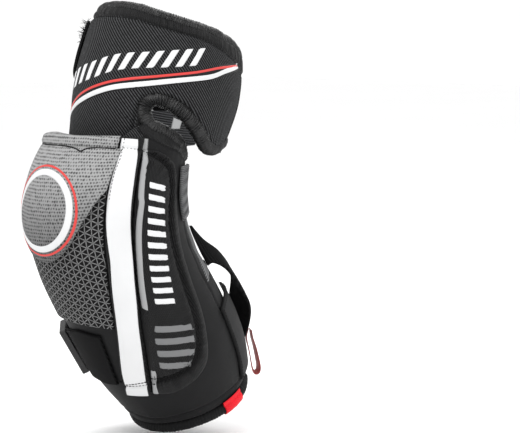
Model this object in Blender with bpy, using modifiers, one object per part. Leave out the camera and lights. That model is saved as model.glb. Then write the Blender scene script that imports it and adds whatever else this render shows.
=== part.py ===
"""Elbow pad for sport, worn open over a bent arm: biceps guard, elbow cap and slash guard joined in one soft pad.

Built in metres with +Z up. The arm lies in the plane y = 0 with the elbow pointing to -X,
the hand end low at +X and the outer side of the arm at -Y. The origin is the middle of the elbow.
"""

import math

import bpy
import bmesh
from mathutils import Vector

# Driving sizes, in metres
PAD_HEIGHT = 0.320
ARM_RADIUS = 0.057
GUARD_WALL = 0.008
CUFF_WALL = 0.006
SLASH_WALL = 0.008
CAP_WALL = 0.0055
MESH_WALL = 0.002
STRIPE_WALL = 0.0055
STRAP_WALL = 0.0022
LINER_WALL = 0.0016
ROLL_RADIUS = 0.0050
EDGE_ROLL_RADIUS = 0.0046
CREASE_ROLL_RADIUS = 0.0032
GAP = 0.0004
BUCKLE_WALL = 0.0055
RIBBON_WALL = 0.0008
RIBBON_WIDTH = 0.006
LABEL_WALL = 0.0009
BAND_WALL = 0.0024

# Sections of the arm. x, z and station are shares of PAD_HEIGHT, radii are shares of ARM_RADIUS, lean is in degrees
FOREARM = [  # x, z, lean, elbow radius, crease radius, side radius
    (0.25, -0.4781, -33, 0.8246, 0.8246, 0.8246),
    (0.2125, -0.4156, -33, 0.9298, 0.9298, 0.9298),
    (0.1656, -0.35, -32, 1, 1, 1),
    (0.1125, -0.2687, -31, 1.0175, 1, 1.0175),
    (0.0594, -0.1875, -29, 1.0175, 0.9825, 1),
    (0.0156, -0.1031, -22, 1.0351, 0.9825, 1),
    (-0.0031, -0.0156, -12, 1.0702, 0.9825, 1),
    (0.0125, 0.0781, -3, 1, 0.9474, 0.9298),
    (0.0344, 0.1469, 6, 0.8772, 0.8772, 0.8772),
    (0.05, 0.1938, 10, 0.8421, 0.8421, 0.8421),
]
BICEPS = [  # x, z, lean, elbow radius, crease radius, side radius
    (0.0938, 0.0688, 8, 0.9649, 0.9825, 0.9825),
    (0.1109, 0.1313, 12, 1.0175, 1.0175, 1.0175),
    (0.1313, 0.1938, 14, 1.0702, 1.0702, 1.0702),
    (0.15, 0.2594, 16, 1.0877, 1.1053, 1.1053),
    (0.1656, 0.325, 17, 1.0526, 1.0877, 1.0877),
    (0.1781, 0.3906, 18, 0.9474, 1.0175, 1),
    (0.1812, 0.425, 18, 0.8421, 0.9123, 0.8947),
]

# Outlines of the pieces. Stations are shares of PAD_HEIGHT along the arm, angles in degrees round it from the elbow
GUARD_EDGES = [  # angle, station of the lower edge, station of the top roll
    (-112, -0.0437, 0.1844),
    (-95, -0.0375, 0.1938),
    (-78, -0.0187, 0.2031),
    (-64, -0.0031, 0.2094),
    (-54, -0.0063, 0.2125),
    (-47, -0.0437, 0.2156),
    (-42, -0.1031, 0.2156),
    (-22, -0.1094, 0.2172),
    (0, -0.1094, 0.2172),
    (20, -0.1094, 0.2141),
    (33, -0.1062, 0.2078),
    (38, -0.0813, 0.2062),
    (40.5, -0.0187, 0.2047),
    (42.5, 0.0156, 0.2047),
    (47, 0.0234, 0.2031),
    (55, 0.0206, 0.2016),
    (64, 0.0131, 0.2),
    (74, -0.0016, 0.2),
    (84, -0.0187, 0.2),
    (93, -0.0391, 0.1984),
    (101, -0.0563, 0.1969),
    (110, -0.0625, 0.1953),
    (119, -0.0563, 0.1906),
    (128, -0.0406, 0.1875),
    (136, -0.025, 0.1812),
]
NOTCH_ROLL_ABOVE = [  # angle, station on the biceps sections
    (133, -0.0297),
    (128, -0.0406),
    (119, -0.0563),
    (110, -0.0625),
    (101, -0.0563),
    (93, -0.0391),
    (84, -0.0187),
    (74, -0.0016),
    (64, 0.0131),
    (55, 0.0206),
    (47, 0.0219),
    (42.5, 0.0125),
    (40.5, -0.0063),
]
NOTCH_ROLL_BELOW = [  # angle, station on the forearm sections
    (68.5, 0.1856),
    (75.3, 0.1788),
    (89.8, 0.1706),
    (104, 0.16),
    (117, 0.1475),
    (128, 0.1281),
    (136, 0.1031),
]
CUFF_EDGES = [  # angle, station of the hem roll, station of the upper edge
    (-218, -0.5531, -0.2437),
    (-204, -0.55, -0.2875),
    (-190, -0.5437, -0.3063),
    (-176, -0.5375, -0.3031),
    (-162, -0.5344, -0.2687),
    (-150, -0.5312, -0.1875),
    (-141, -0.5281, -0.0625),
    (-134, -0.5266, 0.0563),
    (-122, -0.525, 0.0938),
    (-100, -0.525, 0.1),
    (-80, -0.5219, 0.1062),
    (-60, -0.5219, 0.1125),
    (-42, -0.5219, 0.1156),
    (-21, -0.5234, 0.1156),
    (0, -0.525, 0.1156),
    (21, -0.5281, 0.1156),
    (42, -0.5344, 0.1281),
    (50, -0.5375, 0.15),
    (58, -0.5406, 0.1703),
    (68.5, -0.5437, 0.1856),
    (75.3, -0.5453, 0.1766),
    (89.8, -0.55, 0.1706),
    (104, -0.5531, 0.16),
    (117, -0.5563, 0.1475),
    (128, -0.5563, 0.1281),
    (136, -0.5563, 0.1031),
    (139, -0.5563, 0.0688),
]
CREASE_ROLL = [  # angle, station on the forearm sections
    (-138, 0.0),
    (-143, -0.0844),
    (-150.5, -0.1812),
    (-162, -0.2594),
    (-176, -0.2938),
    (-190, -0.2969),
    (-204, -0.2781),
    (-215, -0.2437),
]
HEM_ROLL = [  # angle, station on the forearm sections
    (-215, -0.5656),
    (-196, -0.5625),
    (-176, -0.5563),
    (-156, -0.5516),
    (-122, -0.5406),
    (-80, -0.5375),
    (-42, -0.5375),
    (0, -0.5406),
    (42, -0.55),
    (75, -0.5609),
    (104, -0.5687),
    (120, -0.5703),
    (137, -0.5703),
]
LINER_EDGES = [  # angle, lower station, upper station
    (-142, -0.0625, 0.1688),
    (-128, -0.0375, 0.1906),
    (-110, -0.0187, 0.2156),
    (-92, -0.0063, 0.2297),
    (-75, 0.0031, 0.2281),
]
CREASE_LINING_EDGES = [  # angle, lower station, upper station on the biceps sections
    (-182, -0.0437, 0.0437),
    (-165, -0.05, 0.0437),
    (-148, -0.0563, 0.0406),
    (-130, -0.0563, 0.0344),
    (-112, -0.05, 0.025),
    (-99, -0.0281, 0.0187),
]
MESH_EDGES = [  # left station, left angle, right station, right angle, rise of the middle
    (-0.2313, -58, -0.2234, 30.2, 0.0281),
    (-0.1875, -58, -0.1812, 34.6, 0.0219),
    (-0.1406, -58, -0.1375, 38.8, 0.0141),
    (-0.0938, -57, -0.0906, 42.8, 0.0063),
    (-0.0469, -56, -0.0437, 45.2, 0.0016),
    (0.0, -54, 0.0, 46.8, 0.0),
    (0.0563, -52, 0.0563, 47.9, 0.0),
]
CAP_EDGES = [  # lower station, lower angle, upper station, upper angle
    (0.0688, -51, 0.1269, -54),
    (0.0375, -47, 0.1269, -49),
    (0.0125, -41, 0.1269, -43),
    (-0.0219, -33, 0.1269, -35),
    (-0.0531, -22, 0.1269, -23),
    (-0.0672, -11, 0.1269, -11),
    (-0.0688, 0, 0.1269, 0),
    (-0.0594, 11, 0.1269, 12),
    (-0.0391, 22, 0.1269, 25),
    (0.0, 33, 0.1269, 37),
    (0.0328, 41, 0.1269, 46),
    (0.0531, 47.4, 0.1269, 52.4),
]
COLLAR_EDGES = [  # angle, lower station, upper station
    (-62, 0.1313, 0.1469),
    (-40, 0.1294, 0.1484),
    (-10, 0.1294, 0.1484),
    (10, 0.1294, 0.1484),
    (40, 0.1294, 0.1516),
    (68, 0.1306, 0.1531),
]
SLASH_EDGES = [  # left station, left angle, right station, right angle
    (-0.4141, 31, -0.4313, 45),
    (-0.4, 33.2, -0.4281, 58),
    (-0.3812, 35.4, -0.4188, 70),
    (-0.35, 38.5, -0.3937, 81),
    (-0.2938, 43.8, -0.3375, 89),
    (-0.2344, 49.8, -0.2687, 95),
    (-0.1688, 56.8, -0.1938, 99.5),
    (-0.1062, 62.3, -0.125, 102.5),
    (-0.0375, 66.1, -0.0563, 104),
    (0.025, 68.3, 0.0063, 104.5),
    (0.0688, 69.1, 0.0563, 104),
    (0.0969, 68.9, 0.0906, 101),
    (0.1187, 68.6, 0.1125, 93),
    (0.1281, 68.3, 0.1263, 82),
]
STRIPE_EDGES = [  # left station, left angle, right station, right angle
    (-0.4016, 10.5, -0.4125, 30.2),
    (-0.3656, 15, -0.3812, 34.6),
    (-0.3219, 19, -0.35, 37.7),
    (-0.2656, 26, -0.2938, 43),
    (-0.2156, 31.8, -0.2344, 49),
    (-0.1562, 38, -0.1688, 56),
    (-0.0969, 43.3, -0.1062, 61.5),
    (-0.0312, 46.8, -0.0375, 65.3),
    (0.025, 48.4, 0.025, 67.5),
    (0.0688, 49, 0.0688, 68.3),
    (0.1031, 51.4, 0.1031, 68),
    (0.1281, 54, 0.1281, 67.5),
]
LOWER_STRAP_EDGES = [  # lower station, lower angle, upper station, upper angle
    (-0.4, -66, -0.2625, -66),
    (-0.3969, -50, -0.2562, -50),
    (-0.3875, -34, -0.2437, -34),
    (-0.375, -18, -0.2313, -18),
    (-0.3781, -4, -0.2219, -4),
    (-0.3781, 8, -0.2344, 16),
]
FLAP_EDGES = [  # lower station, lower angle, upper station, upper angle, lift as a share of ARM_RADIUS
    (-0.5375, 110, -0.35, 120, 0.0),
    (-0.5375, 118, -0.3375, 126, 0.0053),
    (-0.5375, 128, -0.3219, 134, 0.0175),
    (-0.5375, 140, -0.3094, 144, 0.0316),
    (-0.5375, 152, -0.3063, 154, 0.0263),
]
EDGE_BAND = [  # lower station, lower angle, upper station, upper angle
    (0.0813, 115, 0.0813, 138),
    (0.0312, 115, 0.0312, 139.5),
    (-0.0187, 115, -0.0187, 140),
    (-0.0688, 117, -0.0688, 140),
]
UPPER_STRAP = [  # angle, lower station, upper station, lift as a share of GUARD_WALL
    (128, 0.0187, 0.1562, -1.62),
    (140, 0.0219, 0.1594, -1.5),
    (160, 0.0281, 0.1656, -0.9),
    (180, 0.0344, 0.1688, -0.5),
    (205, 0.0375, 0.1719, -0.2),
    (228, 0.0406, 0.175, 0.02),
    (245, 0.0437, 0.1781, 0.07),
    (270, 0.0469, 0.1812, 0.08),
    (296, 0.05, 0.1844, 0.08),
    (312, 0.0625, 0.1875, 0.08),
    (322, 0.0781, 0.1875, 0.08),
]
FOREARM_STRAP = [  # lower station, lower angle, upper station, upper angle, lift as a share of ARM_RADIUS
    (-0.2469, 138, -0.1125, 139, 0.0035),
    (-0.25, 140, -0.175, 142, 0.0877),
    (-0.2875, 143, -0.2281, 147, 0.1842),
    (-0.3563, 146, -0.2844, 153, 0.2281),
    (-0.4219, 149, -0.3469, 162, 0.2544),
    (-0.4625, 149, -0.3937, 167, 0.1842),
    (-0.4938, 148, -0.4375, 169, 0.0702),
]
PULL_LOOP = [  # down the arm and out from it, as shares of PAD_HEIGHT from the strap's end
    (-0.0156, 0.0),
    (0.0, 0.0),
    (0.0125, 0.0034),
    (0.0344, 0.015),
    (0.0594, 0.0272),
    (0.0813, 0.0375),
    (0.0938, 0.0462),
    (0.0922, 0.0556),
    (0.0781, 0.0553),
    (0.0531, 0.0437),
    (0.0281, 0.0306),
    (0.0063, 0.0175),
    (-0.0125, 0.0094),
]
BUCKLE_AT = (-0.325, -48)  # station and angle of the buckle's middle
BUCKLE_FRAME = [  # along the strap, across it, as shares of PAD_HEIGHT from the middle of the buckle
    (-0.0281, -0.0656),
    (0.0281, -0.0656),
    (0.0281, 0.0656),
    (-0.0281, 0.0656),
]


def clear_scene():
    for obj in list(bpy.data.objects):
        bpy.data.objects.remove(obj, do_unlink=True)
    for coll in list(bpy.data.collections):
        bpy.data.collections.remove(coll)


def collection(name, helper=False):
    coll = bpy.data.collections.new(name)
    bpy.context.scene.collection.children.link(coll)
    coll.hide_render = helper
    return coll


def material(name, colour, roughness, metallic=0.0):
    mat = bpy.data.materials.new(name)
    mat.use_nodes = True
    shader = mat.node_tree.nodes["Principled BSDF"]
    shader.inputs["Base Color"].default_value = (*colour, 1.0)
    shader.inputs["Roughness"].default_value = roughness
    shader.inputs["Metallic"].default_value = metallic
    mat.diffuse_color = (*colour, 1.0)
    return mat


def hermite(p0, p1, m0, m1, t, h):
    a = 2 * t**3 - 3 * t**2 + 1
    b = t**3 - 2 * t**2 + t
    c = -2 * t**3 + 3 * t**2
    d = t**3 - t**2
    return a * p0 + b * h * m0 + c * p1 + d * h * m1


class Arm:
    """Smooth surface through a row of leaning oval sections, addressed by station and angle."""

    def __init__(self, rows, zero):
        self.rows = []
        for x, z, lean, elbow, crease, side in rows:
            radii = [share * ARM_RADIUS for share in (elbow, crease, side)]
            self.rows.append((x * PAD_HEIGHT, z * PAD_HEIGHT, lean, *radii))
        self.stations = [0.0]
        for one, two in zip(self.rows, self.rows[1:]):
            self.stations.append(self.stations[-1] + math.hypot(two[0] - one[0], two[1] - one[1]))
        i, t = self.section_at(zero * PAD_HEIGHT)
        start = self.stations[i] + t * (self.stations[i + 1] - self.stations[i])
        self.stations = [s - start for s in self.stations]
        self.slopes = []
        last = len(self.rows) - 1
        for i in range(last + 1):
            lo, hi = max(i - 1, 0), min(i + 1, last)
            span = self.stations[hi] - self.stations[lo]
            if 0 < i < last:
                before = self.stations[i] - self.stations[i - 1]
                after = self.stations[i + 1] - self.stations[i]
                self.slopes.append([
                    (before * (c - b) / after + after * (b - a) / before) / (before + after)
                    for a, b, c in zip(self.rows[i - 1], self.rows[i], self.rows[i + 1])
                ])
            else:
                self.slopes.append([(b - a) / span for a, b in zip(self.rows[lo], self.rows[hi])])

    def section_at(self, z):
        for i in range(len(self.rows) - 1):
            low, high = self.rows[i][1], self.rows[i + 1][1]
            if low <= z <= high:
                return i, (z - low) / (high - low)
        return 0, 0.0

    def section(self, station):
        last = len(self.stations) - 2
        i = 0
        while i < last and station > self.stations[i + 1]:
            i += 1
        h = self.stations[i + 1] - self.stations[i]
        t = (station - self.stations[i]) / h
        inside = min(max(t, 0.0), 1.0)
        values = []
        for k in range(6):
            m0, m1 = self.slopes[i][k], self.slopes[i + 1][k]
            value = hermite(self.rows[i][k], self.rows[i + 1][k], m0, m1, inside, h)
            value += (t - inside) * h * (m0 if t < 0 else m1)
            values.append(value)
        return values

    def at(self, station, angle, lift=0.0):
        x, z, lean, elbow, crease, side = self.section(station)
        a, tilt = math.radians(angle), math.radians(lean)
        reach = ((elbow if math.cos(a) > 0 else crease) + lift) * math.cos(a)
        return Vector((x - reach * math.cos(tilt), -(side + lift) * math.sin(a), z + reach * math.sin(tilt)))

    def centre(self, station):
        x, z = self.section(station)[:2]
        return Vector((x, 0.0, z))


def smooth_rows(rows, steps):
    """Rows of numbers with more rows between them, on a smooth line through the given ones."""
    out = []
    last = len(rows) - 1
    for i in range(last):
        before, one, two, after = rows[max(i - 1, 0)], rows[i], rows[i + 1], rows[min(i + 2, last)]
        for k in range(steps):
            t = k / steps
            out.append([
                hermite(b, c, (c - a) / 2 if i else c - b, (d - b) / 2 if i < last - 1 else c - b, t, 1.0)
                for a, b, c, d in zip(before, one, two, after)
            ])
    out.append(list(rows[-1]))
    return out


def link(mesh, name, coll, mat):
    obj = bpy.data.objects.new(name, mesh)
    coll.objects.link(obj)
    if mat:
        mesh.materials.append(mat)
    return obj


def bulge(u, v, edge, power):
    """Share of the full wall at u, v from 0 to 1 across a padded panel, least at its edges."""
    crown = (1 - abs(2 * u - 1) ** power) * (1 - abs(2 * v - 1) ** power)
    return edge + (1 - edge) * crown


def panel(name, arm, edges, coll, mat, wall, base=0.0, outward=True, steps=2, across=6, edge=1.0, power=4.0):
    """Sheet between two edge lines on the arm, given a wall by Solidify.

    A row holds station and angle at one edge, station and angle at the other, then its lift off the arm and
    the rise of its middle, where it has them.
    """
    rows = smooth_rows([(*row, 0.0, 0.0)[:6] for row in edges], steps)
    bm = bmesh.new()
    grid = []
    for low_s, low_a, high_s, high_a, lift, rise in rows:
        line = []
        for j in range(across + 1):
            u = j / across
            station = (low_s + (high_s - low_s) * u + rise * 4 * u * (1 - u)) * PAD_HEIGHT
            angle = low_a + (high_a - low_a) * u
            line.append(bm.verts.new(arm.at(station, angle, base + lift)))
        grid.append(line)
    for a, b in zip(grid, grid[1:]):
        for j in range(across):
            bm.faces.new((a[j], a[j + 1], b[j + 1], b[j]))
    bm.normal_update()
    bm.faces.ensure_lookup_table()
    face = bm.faces[len(bm.faces) // 2]
    middle = rows[len(rows) // 2]
    axis = arm.centre((middle[0] + middle[2]) / 2 * PAD_HEIGHT)
    if face.normal.dot(face.calc_center_median() - axis) < 0:
        for one in bm.faces:
            one.normal_flip()
    mesh = bpy.data.meshes.new(name)
    bm.to_mesh(mesh)
    bm.free()
    obj = link(mesh, name, coll, mat)
    solid = obj.modifiers.new("wall", "SOLIDIFY")
    solid.thickness = wall
    solid.offset = 1.0 if outward else -1.0
    solid.use_even_offset = False
    if edge < 1.0:
        group = obj.vertex_groups.new(name="wall")
        count = across + 1
        for i in range(len(rows)):
            for j in range(count):
                group.add([i * count + j], bulge(j / across, i / (len(rows) - 1), edge, power), "REPLACE")
        solid.vertex_group = "wall"
    return obj


def by_angle(rows):
    return [(row[1], row[0], row[2], row[0], *row[3:]) for row in rows]


def roll(name, points, coll, mat, radius, sides=2):
    """Round roll along a line of points, closed at both ends."""
    curve = bpy.data.curves.new(name, "CURVE")
    curve.dimensions = "3D"
    curve.bevel_depth = radius
    curve.bevel_resolution = sides
    curve.use_fill_caps = True
    spline = curve.splines.new("POLY")
    spline.points.add(len(points) - 1)
    for point, place in zip(spline.points, points):
        point.co = (*place, 1.0)
    obj = bpy.data.objects.new(name, curve)
    coll.objects.link(obj)
    if mat:
        curve.materials.append(mat)
    return obj


def as_mesh(obj, name, coll, mat):
    """The same shape as a plain mesh object, and the first one removed."""
    graph = bpy.context.evaluated_depsgraph_get()
    graph.update()
    mesh = bpy.data.meshes.new_from_object(obj.evaluated_get(graph))
    bpy.data.objects.remove(obj, do_unlink=True)
    bm = bmesh.new()
    bm.from_mesh(mesh)
    bmesh.ops.remove_doubles(bm, verts=bm.verts, dist=1e-6)
    bmesh.ops.recalc_face_normals(bm, faces=bm.faces)
    bm.to_mesh(mesh)
    bm.free()
    mesh.name = name
    mesh.materials.clear()
    made = link(mesh, name, coll, mat)
    return made


def cut(obj, cutter):
    boolean = obj.modifiers.new("clear of " + cutter.name, "BOOLEAN")
    boolean.operation = "DIFFERENCE"
    boolean.solver = "EXACT"
    boolean.object = cutter


def cutter_roll(name, points, coll, radius, sides=5):
    obj = as_mesh(roll(name, points, coll, None, radius, sides), name, coll, None)
    obj.display_type = "WIRE"
    obj.hide_render = True
    return obj


def line_on(arm, rows, lift, steps=3):
    return [arm.at(s * PAD_HEIGHT, a, lift) for a, s in smooth_rows(rows, steps)]


def evenly(points, count):
    """Points at equal steps along a line of points."""
    lengths = [0.0]
    for a, b in zip(points, points[1:]):
        lengths.append(lengths[-1] + (b - a).length)
    out = []
    i = 0
    for k in range(count):
        goal = lengths[-1] * k / (count - 1)
        while i < len(points) - 2 and lengths[i + 1] < goal:
            i += 1
        t = (goal - lengths[i]) / (lengths[i + 1] - lengths[i])
        out.append(points[i].lerp(points[i + 1], min(max(t, 0.0), 1.0)))
    return out


def ribbon(name, points, side, coll, mat, width, wall):
    """Flat band along a line of points, its width along side, given a wall by Solidify."""
    bm = bmesh.new()
    grid = [[bm.verts.new(p - side * width / 2), bm.verts.new(p + side * width / 2)] for p in points]
    for a, b in zip(grid, grid[1:]):
        bm.faces.new((a[0], a[1], b[1], b[0]))
    mesh = bpy.data.meshes.new(name)
    bm.to_mesh(mesh)
    bm.free()
    obj = link(mesh, name, coll, mat)
    solid = obj.modifiers.new("wall", "SOLIDIFY")
    solid.thickness = wall
    solid.offset = 0.0
    solid.use_even_offset = False
    return obj


def buckle(name, middle, along, across, out, coll, mat):
    """Oblong frame with one slot, its corners rounded, standing on the strap."""
    half_long, half_wide = PAD_HEIGHT * BUCKLE_FRAME[2][1], PAD_HEIGHT * BUCKLE_FRAME[2][0]
    bar = half_wide * 0.42
    bm = bmesh.new()
    outer, inner = [], []
    for sx, sy in ((-1, -1), (1, -1), (1, 1), (-1, 1)):
        outer.append((sx * half_wide, sy * half_long))
        inner.append((sx * (half_wide - bar), sy * (half_long - bar)))
    rings = []
    for height in (-BUCKLE_WALL / 2, BUCKLE_WALL / 2):
        for ring in (outer, inner):
            rings.append([bm.verts.new(middle + across * x + along * y + out * height) for x, y in ring])
    low_out, low_in, high_out, high_in = rings
    for k in range(4):
        n = (k + 1) % 4
        bm.faces.new((high_out[k], high_out[n], high_in[n], high_in[k]))
        bm.faces.new((low_out[n], low_out[k], low_in[k], low_in[n]))
        bm.faces.new((low_out[k], low_out[n], high_out[n], high_out[k]))
        bm.faces.new((low_in[n], low_in[k], high_in[k], high_in[n]))
    bmesh.ops.recalc_face_normals(bm, faces=bm.faces)
    mesh = bpy.data.meshes.new(name)
    bm.to_mesh(mesh)
    bm.free()
    obj = link(mesh, name, coll, mat)
    soft = obj.modifiers.new("edges", "BEVEL")
    soft.width = BUCKLE_WALL * 0.15
    soft.segments = 2
    return obj


def label_sleeve(name, arm, coll, mat, first, last, centre_lift):
    """Folded label round the hem roll between two angles."""
    bm = bmesh.new()
    grid = []
    reach = EDGE_ROLL_RADIUS + GAP
    rows = smooth_rows(HEM_ROLL, 4)
    count = 7
    turns = 10
    for i in range(count):
        angle = first + (last - first) * i / (count - 1)
        for one, two in zip(rows, rows[1:]):
            if one[0] <= angle <= two[0]:
                t = (angle - one[0]) / (two[0] - one[0])
                station = (one[1] + (two[1] - one[1]) * t) * PAD_HEIGHT
        middle = arm.at(station, angle, centre_lift)
        ahead = (arm.at(station, angle + 1, centre_lift) - middle).normalized()
        out = (arm.at(station, angle, centre_lift + 0.01) - middle).normalized()
        out = (out - ahead * out.dot(ahead)).normalized()
        up = out.cross(ahead)
        if up.z < 0:
            up = -up
        line = []
        for k in range(turns + 1):
            turn = math.radians(42 - 192 * k / turns)
            line.append(bm.verts.new(middle + (out * math.cos(turn) + up * math.sin(turn)) * reach))
        grid.append(line)
    for a, b in zip(grid, grid[1:]):
        for j in range(turns):
            bm.faces.new((a[j], b[j], b[j + 1], a[j + 1]))
    bm.normal_update()
    bm.faces.ensure_lookup_table()
    face = bm.faces[turns * (count // 2) + 2]
    if face.normal.dot(face.calc_center_median() - middle) < 0:
        for one in bm.faces:
            one.normal_flip()
    mesh = bpy.data.meshes.new(name)
    bm.to_mesh(mesh)
    bm.free()
    obj = link(mesh, name, coll, mat)
    solid = obj.modifiers.new("wall", "SOLIDIFY")
    solid.thickness = LABEL_WALL
    solid.offset = 1.0
    solid.use_even_offset = True
    return obj


def build():
    clear_scene()
    pad = collection("elbow_pad")
    helpers = collection("cutters", helper=True)
    twill = material("charcoal_twill", (0.030, 0.031, 0.033), 0.85)
    knit = material("black_knit", (0.016, 0.016, 0.017), 0.9)
    satin = material("black_satin", (0.012, 0.012, 0.013), 0.6)
    grey_knit = material("grey_knit", (0.26, 0.27, 0.28), 0.85)
    mesh_cloth = material("grey_black_mesh", (0.10, 0.10, 0.105), 0.8)
    white_skin = material("white_synthetic", (0.86, 0.87, 0.88), 0.5)
    ribbed = material("dark_grey_rib", (0.055, 0.056, 0.06), 0.85)
    lining = material("grey_lining", (0.09, 0.093, 0.098), 0.9)
    elastic = material("black_elastic", (0.010, 0.010, 0.011), 0.9)
    red = material("red_label", (0.75, 0.012, 0.02), 0.6)
    dark_red = material("dark_red_ribbon", (0.32, 0.03, 0.03), 0.6)
    plastic = material("black_plastic", (0.012, 0.012, 0.013), 0.3)

    biceps = Arm(BICEPS, 62 / 320)
    forearm = Arm(FOREARM, 0.0)

    # Biceps guard and the rolls round it
    roll_lift = -GUARD_WALL / 2
    above = line_on(biceps, NOTCH_ROLL_ABOVE, roll_lift)
    below = line_on(forearm, NOTCH_ROLL_BELOW, -CUFF_WALL * 0.7)
    notch = evenly(above + below, 44)
    notch = soften(notch, 3)
    roll("notch_binding", notch, pad, satin, ROLL_RADIUS)
    clear = cutter_roll("notch_cutter", longer(notch, 0.006), helpers, ROLL_RADIUS + GAP)

    top_share = (EDGE_ROLL_RADIUS + GAP) / PAD_HEIGHT
    top = evenly(line_on(biceps, [(a, s) for a, _, s in GUARD_EDGES], roll_lift), 44)
    roll("bicep_top_binding", top, pad, satin, EDGE_ROLL_RADIUS)
    guard = [(a, low, high - top_share) for a, low, high in GUARD_EDGES]
    guard = panel("bicep_guard", biceps, by_angle(guard), pad, twill, GUARD_WALL, outward=False, steps=1, across=6)
    cut(guard, clear)

    # Forearm cuff and the rolls round it
    hem_share = (EDGE_ROLL_RADIUS + GAP) / PAD_HEIGHT
    hem_lift = -CUFF_WALL / 2
    hem = evenly(line_on(forearm, HEM_ROLL, hem_lift), 46)
    roll("hem_binding", hem, pad, knit, EDGE_ROLL_RADIUS)
    hem_clear = cutter_roll("hem_cutter", longer(hem, 0.002), helpers, EDGE_ROLL_RADIUS + GAP)
    cuff = [(a, low - hem_share * 0.2, high) for a, low, high in CUFF_EDGES]
    cuff = panel("forearm_cuff", forearm, by_angle(cuff), pad, knit, CUFF_WALL, outward=False, steps=1, across=9)
    cut(cuff, clear)
    cut(cuff, hem_clear)
    crease = soften(evenly(line_on(forearm, CREASE_ROLL, -CUFF_WALL / 2), 30), 2)
    roll("crease_binding", crease, pad, ribbed, CREASE_ROLL_RADIUS)
    cut(cuff, cutter_roll("crease_cutter", longer(crease, 0.004), helpers, CREASE_ROLL_RADIUS + GAP))
    label_sleeve("hem_label", forearm, pad, red, 80, 104, hem_lift)
    liner_base = -CUFF_WALL * 2 - LINER_WALL
    panel("elbow_liner", forearm, by_angle(LINER_EDGES), pad, lining, LINER_WALL, base=liner_base, steps=2, across=6)
    inside = -GUARD_WALL - GAP * 3 - LINER_WALL
    panel("crease_lining", biceps, by_angle(CREASE_LINING_EDGES), pad, lining, LINER_WALL, base=inside, steps=2,
          across=3)

    # Outer layer of the forearm: mesh side, cap with its collar, slash guard with its stripe
    layer = GAP
    mesh_rows = [(*row[:4], 0.0, row[4]) for row in MESH_EDGES]
    panel("side_mesh_panel", forearm, mesh_rows, pad, mesh_cloth, MESH_WALL, base=layer * 2, steps=2, across=10)
    over = layer * 2 + MESH_WALL + 2 * GAP
    panel("elbow_cap", forearm, CAP_EDGES, pad, grey_knit, CAP_WALL, base=over, steps=2, across=10,
          edge=0.34, power=2.6)
    panel("cap_collar", forearm, by_angle(COLLAR_EDGES), pad, grey_knit, CAP_WALL * 0.75, base=layer, steps=4,
          across=4, edge=0.5, power=3.0)
    panel("slash_guard", forearm, SLASH_EDGES, pad, satin, SLASH_WALL, base=layer, steps=2, across=8,
          edge=0.5, power=4.0)
    panel("slash_stripe", forearm, STRIPE_EDGES, pad, white_skin, STRIPE_WALL, base=layer, steps=2, across=6,
          edge=0.6, power=6.0)

    panel("crease_edge_band", forearm, EDGE_BAND, pad, ribbed, BAND_WALL, base=layer * 1.6, steps=1, across=3)

    # Straps
    straps = [(*row[:4], row[4] * ARM_RADIUS) for row in FOREARM_STRAP]
    panel("forearm_strap", forearm, straps, pad, elastic, STRAP_WALL, base=layer, steps=2, across=4)
    upper = [(a, low, high, lift * GUARD_WALL) for a, low, high, lift in UPPER_STRAP]
    panel("bicep_strap", biceps, by_angle(upper), pad, elastic, STRAP_WALL, base=0.0, steps=2, across=4)
    panel("lower_strap", forearm, LOWER_STRAP_EDGES, pad, elastic, STRAP_WALL, base=layer, steps=2, across=4)
    flap = [(*row[:4], row[4] * ARM_RADIUS) for row in FLAP_EDGES]
    panel("wrap_flap", forearm, flap, pad, knit, STRAP_WALL, base=layer, steps=2, across=4)

    on_strap = STRAP_WALL + 3 * GAP + RIBBON_WALL / 2
    ends = [(row[0] * PAD_HEIGHT, row[1] + 5, layer + row[4] * ARM_RADIUS + on_strap) for row in FOREARM_STRAP[-2:]]
    anchor = forearm.at(*ends[1])
    down = (anchor - forearm.at(*ends[0])).normalized()
    end_s, end_a, end_lift = ends[1]
    round_arm = (forearm.at(end_s, end_a + 3, end_lift) - forearm.at(end_s, end_a - 3, end_lift)).normalized()
    away = down.cross(round_arm).normalized()
    if away.dot(anchor - forearm.centre(end_s)) < 0:
        away = -away
    loop = [anchor + down * (a * PAD_HEIGHT) + away * (b * PAD_HEIGHT) for a, b in smooth_rows(PULL_LOOP, 3)]
    ribbon("strap_pull_loop", evenly(loop, 30), round_arm, pad, dark_red, RIBBON_WIDTH, RIBBON_WALL)
    middle = forearm.at(BUCKLE_AT[0] * PAD_HEIGHT, BUCKLE_AT[1], layer + STRAP_WALL + BUCKLE_WALL / 2 + GAP)
    reach = BUCKLE_FRAME[2][1]
    ends = [forearm.at((BUCKLE_AT[0] + side * reach) * PAD_HEIGHT, BUCKLE_AT[1]) for side in (-1, 1)]
    along = (ends[1] - ends[0]).normalized()
    ends = [forearm.at(BUCKLE_AT[0] * PAD_HEIGHT, BUCKLE_AT[1] + turn) for turn in (-6, 6)]
    across = (ends[1] - ends[0]).normalized()
    across = (across - along * across.dot(along)).normalized()
    buckle("lower_strap_loop", middle, along, across, across.cross(along), pad, plastic)


def soften(points, times):
    """The same line with its corners eased, its ends kept."""
    for _ in range(times):
        points = [points[0]] + [
            (a + b * 2 + c) / 4 for a, b, c in zip(points, points[1:], points[2:])
        ] + [points[-1]]
    return points


def longer(points, by):
    """The same line carried on straight at both ends."""
    start = points[0] + (points[0] - points[1]).normalized() * by
    end = points[-1] + (points[-1] - points[-2]).normalized() * by
    return [start] + list(points) + [end]


build()
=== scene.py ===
"""Elbow pad for sport: padded upper arm guard, knitted elbow cap, mesh side and slash guard on a soft cuff.

Each operator makes one piece or one group of like pieces round the loaded frame, in metres.
A place on an arm is a station along it in millimetres and an angle round it in degrees, 0 at the elbow.
"""

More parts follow.
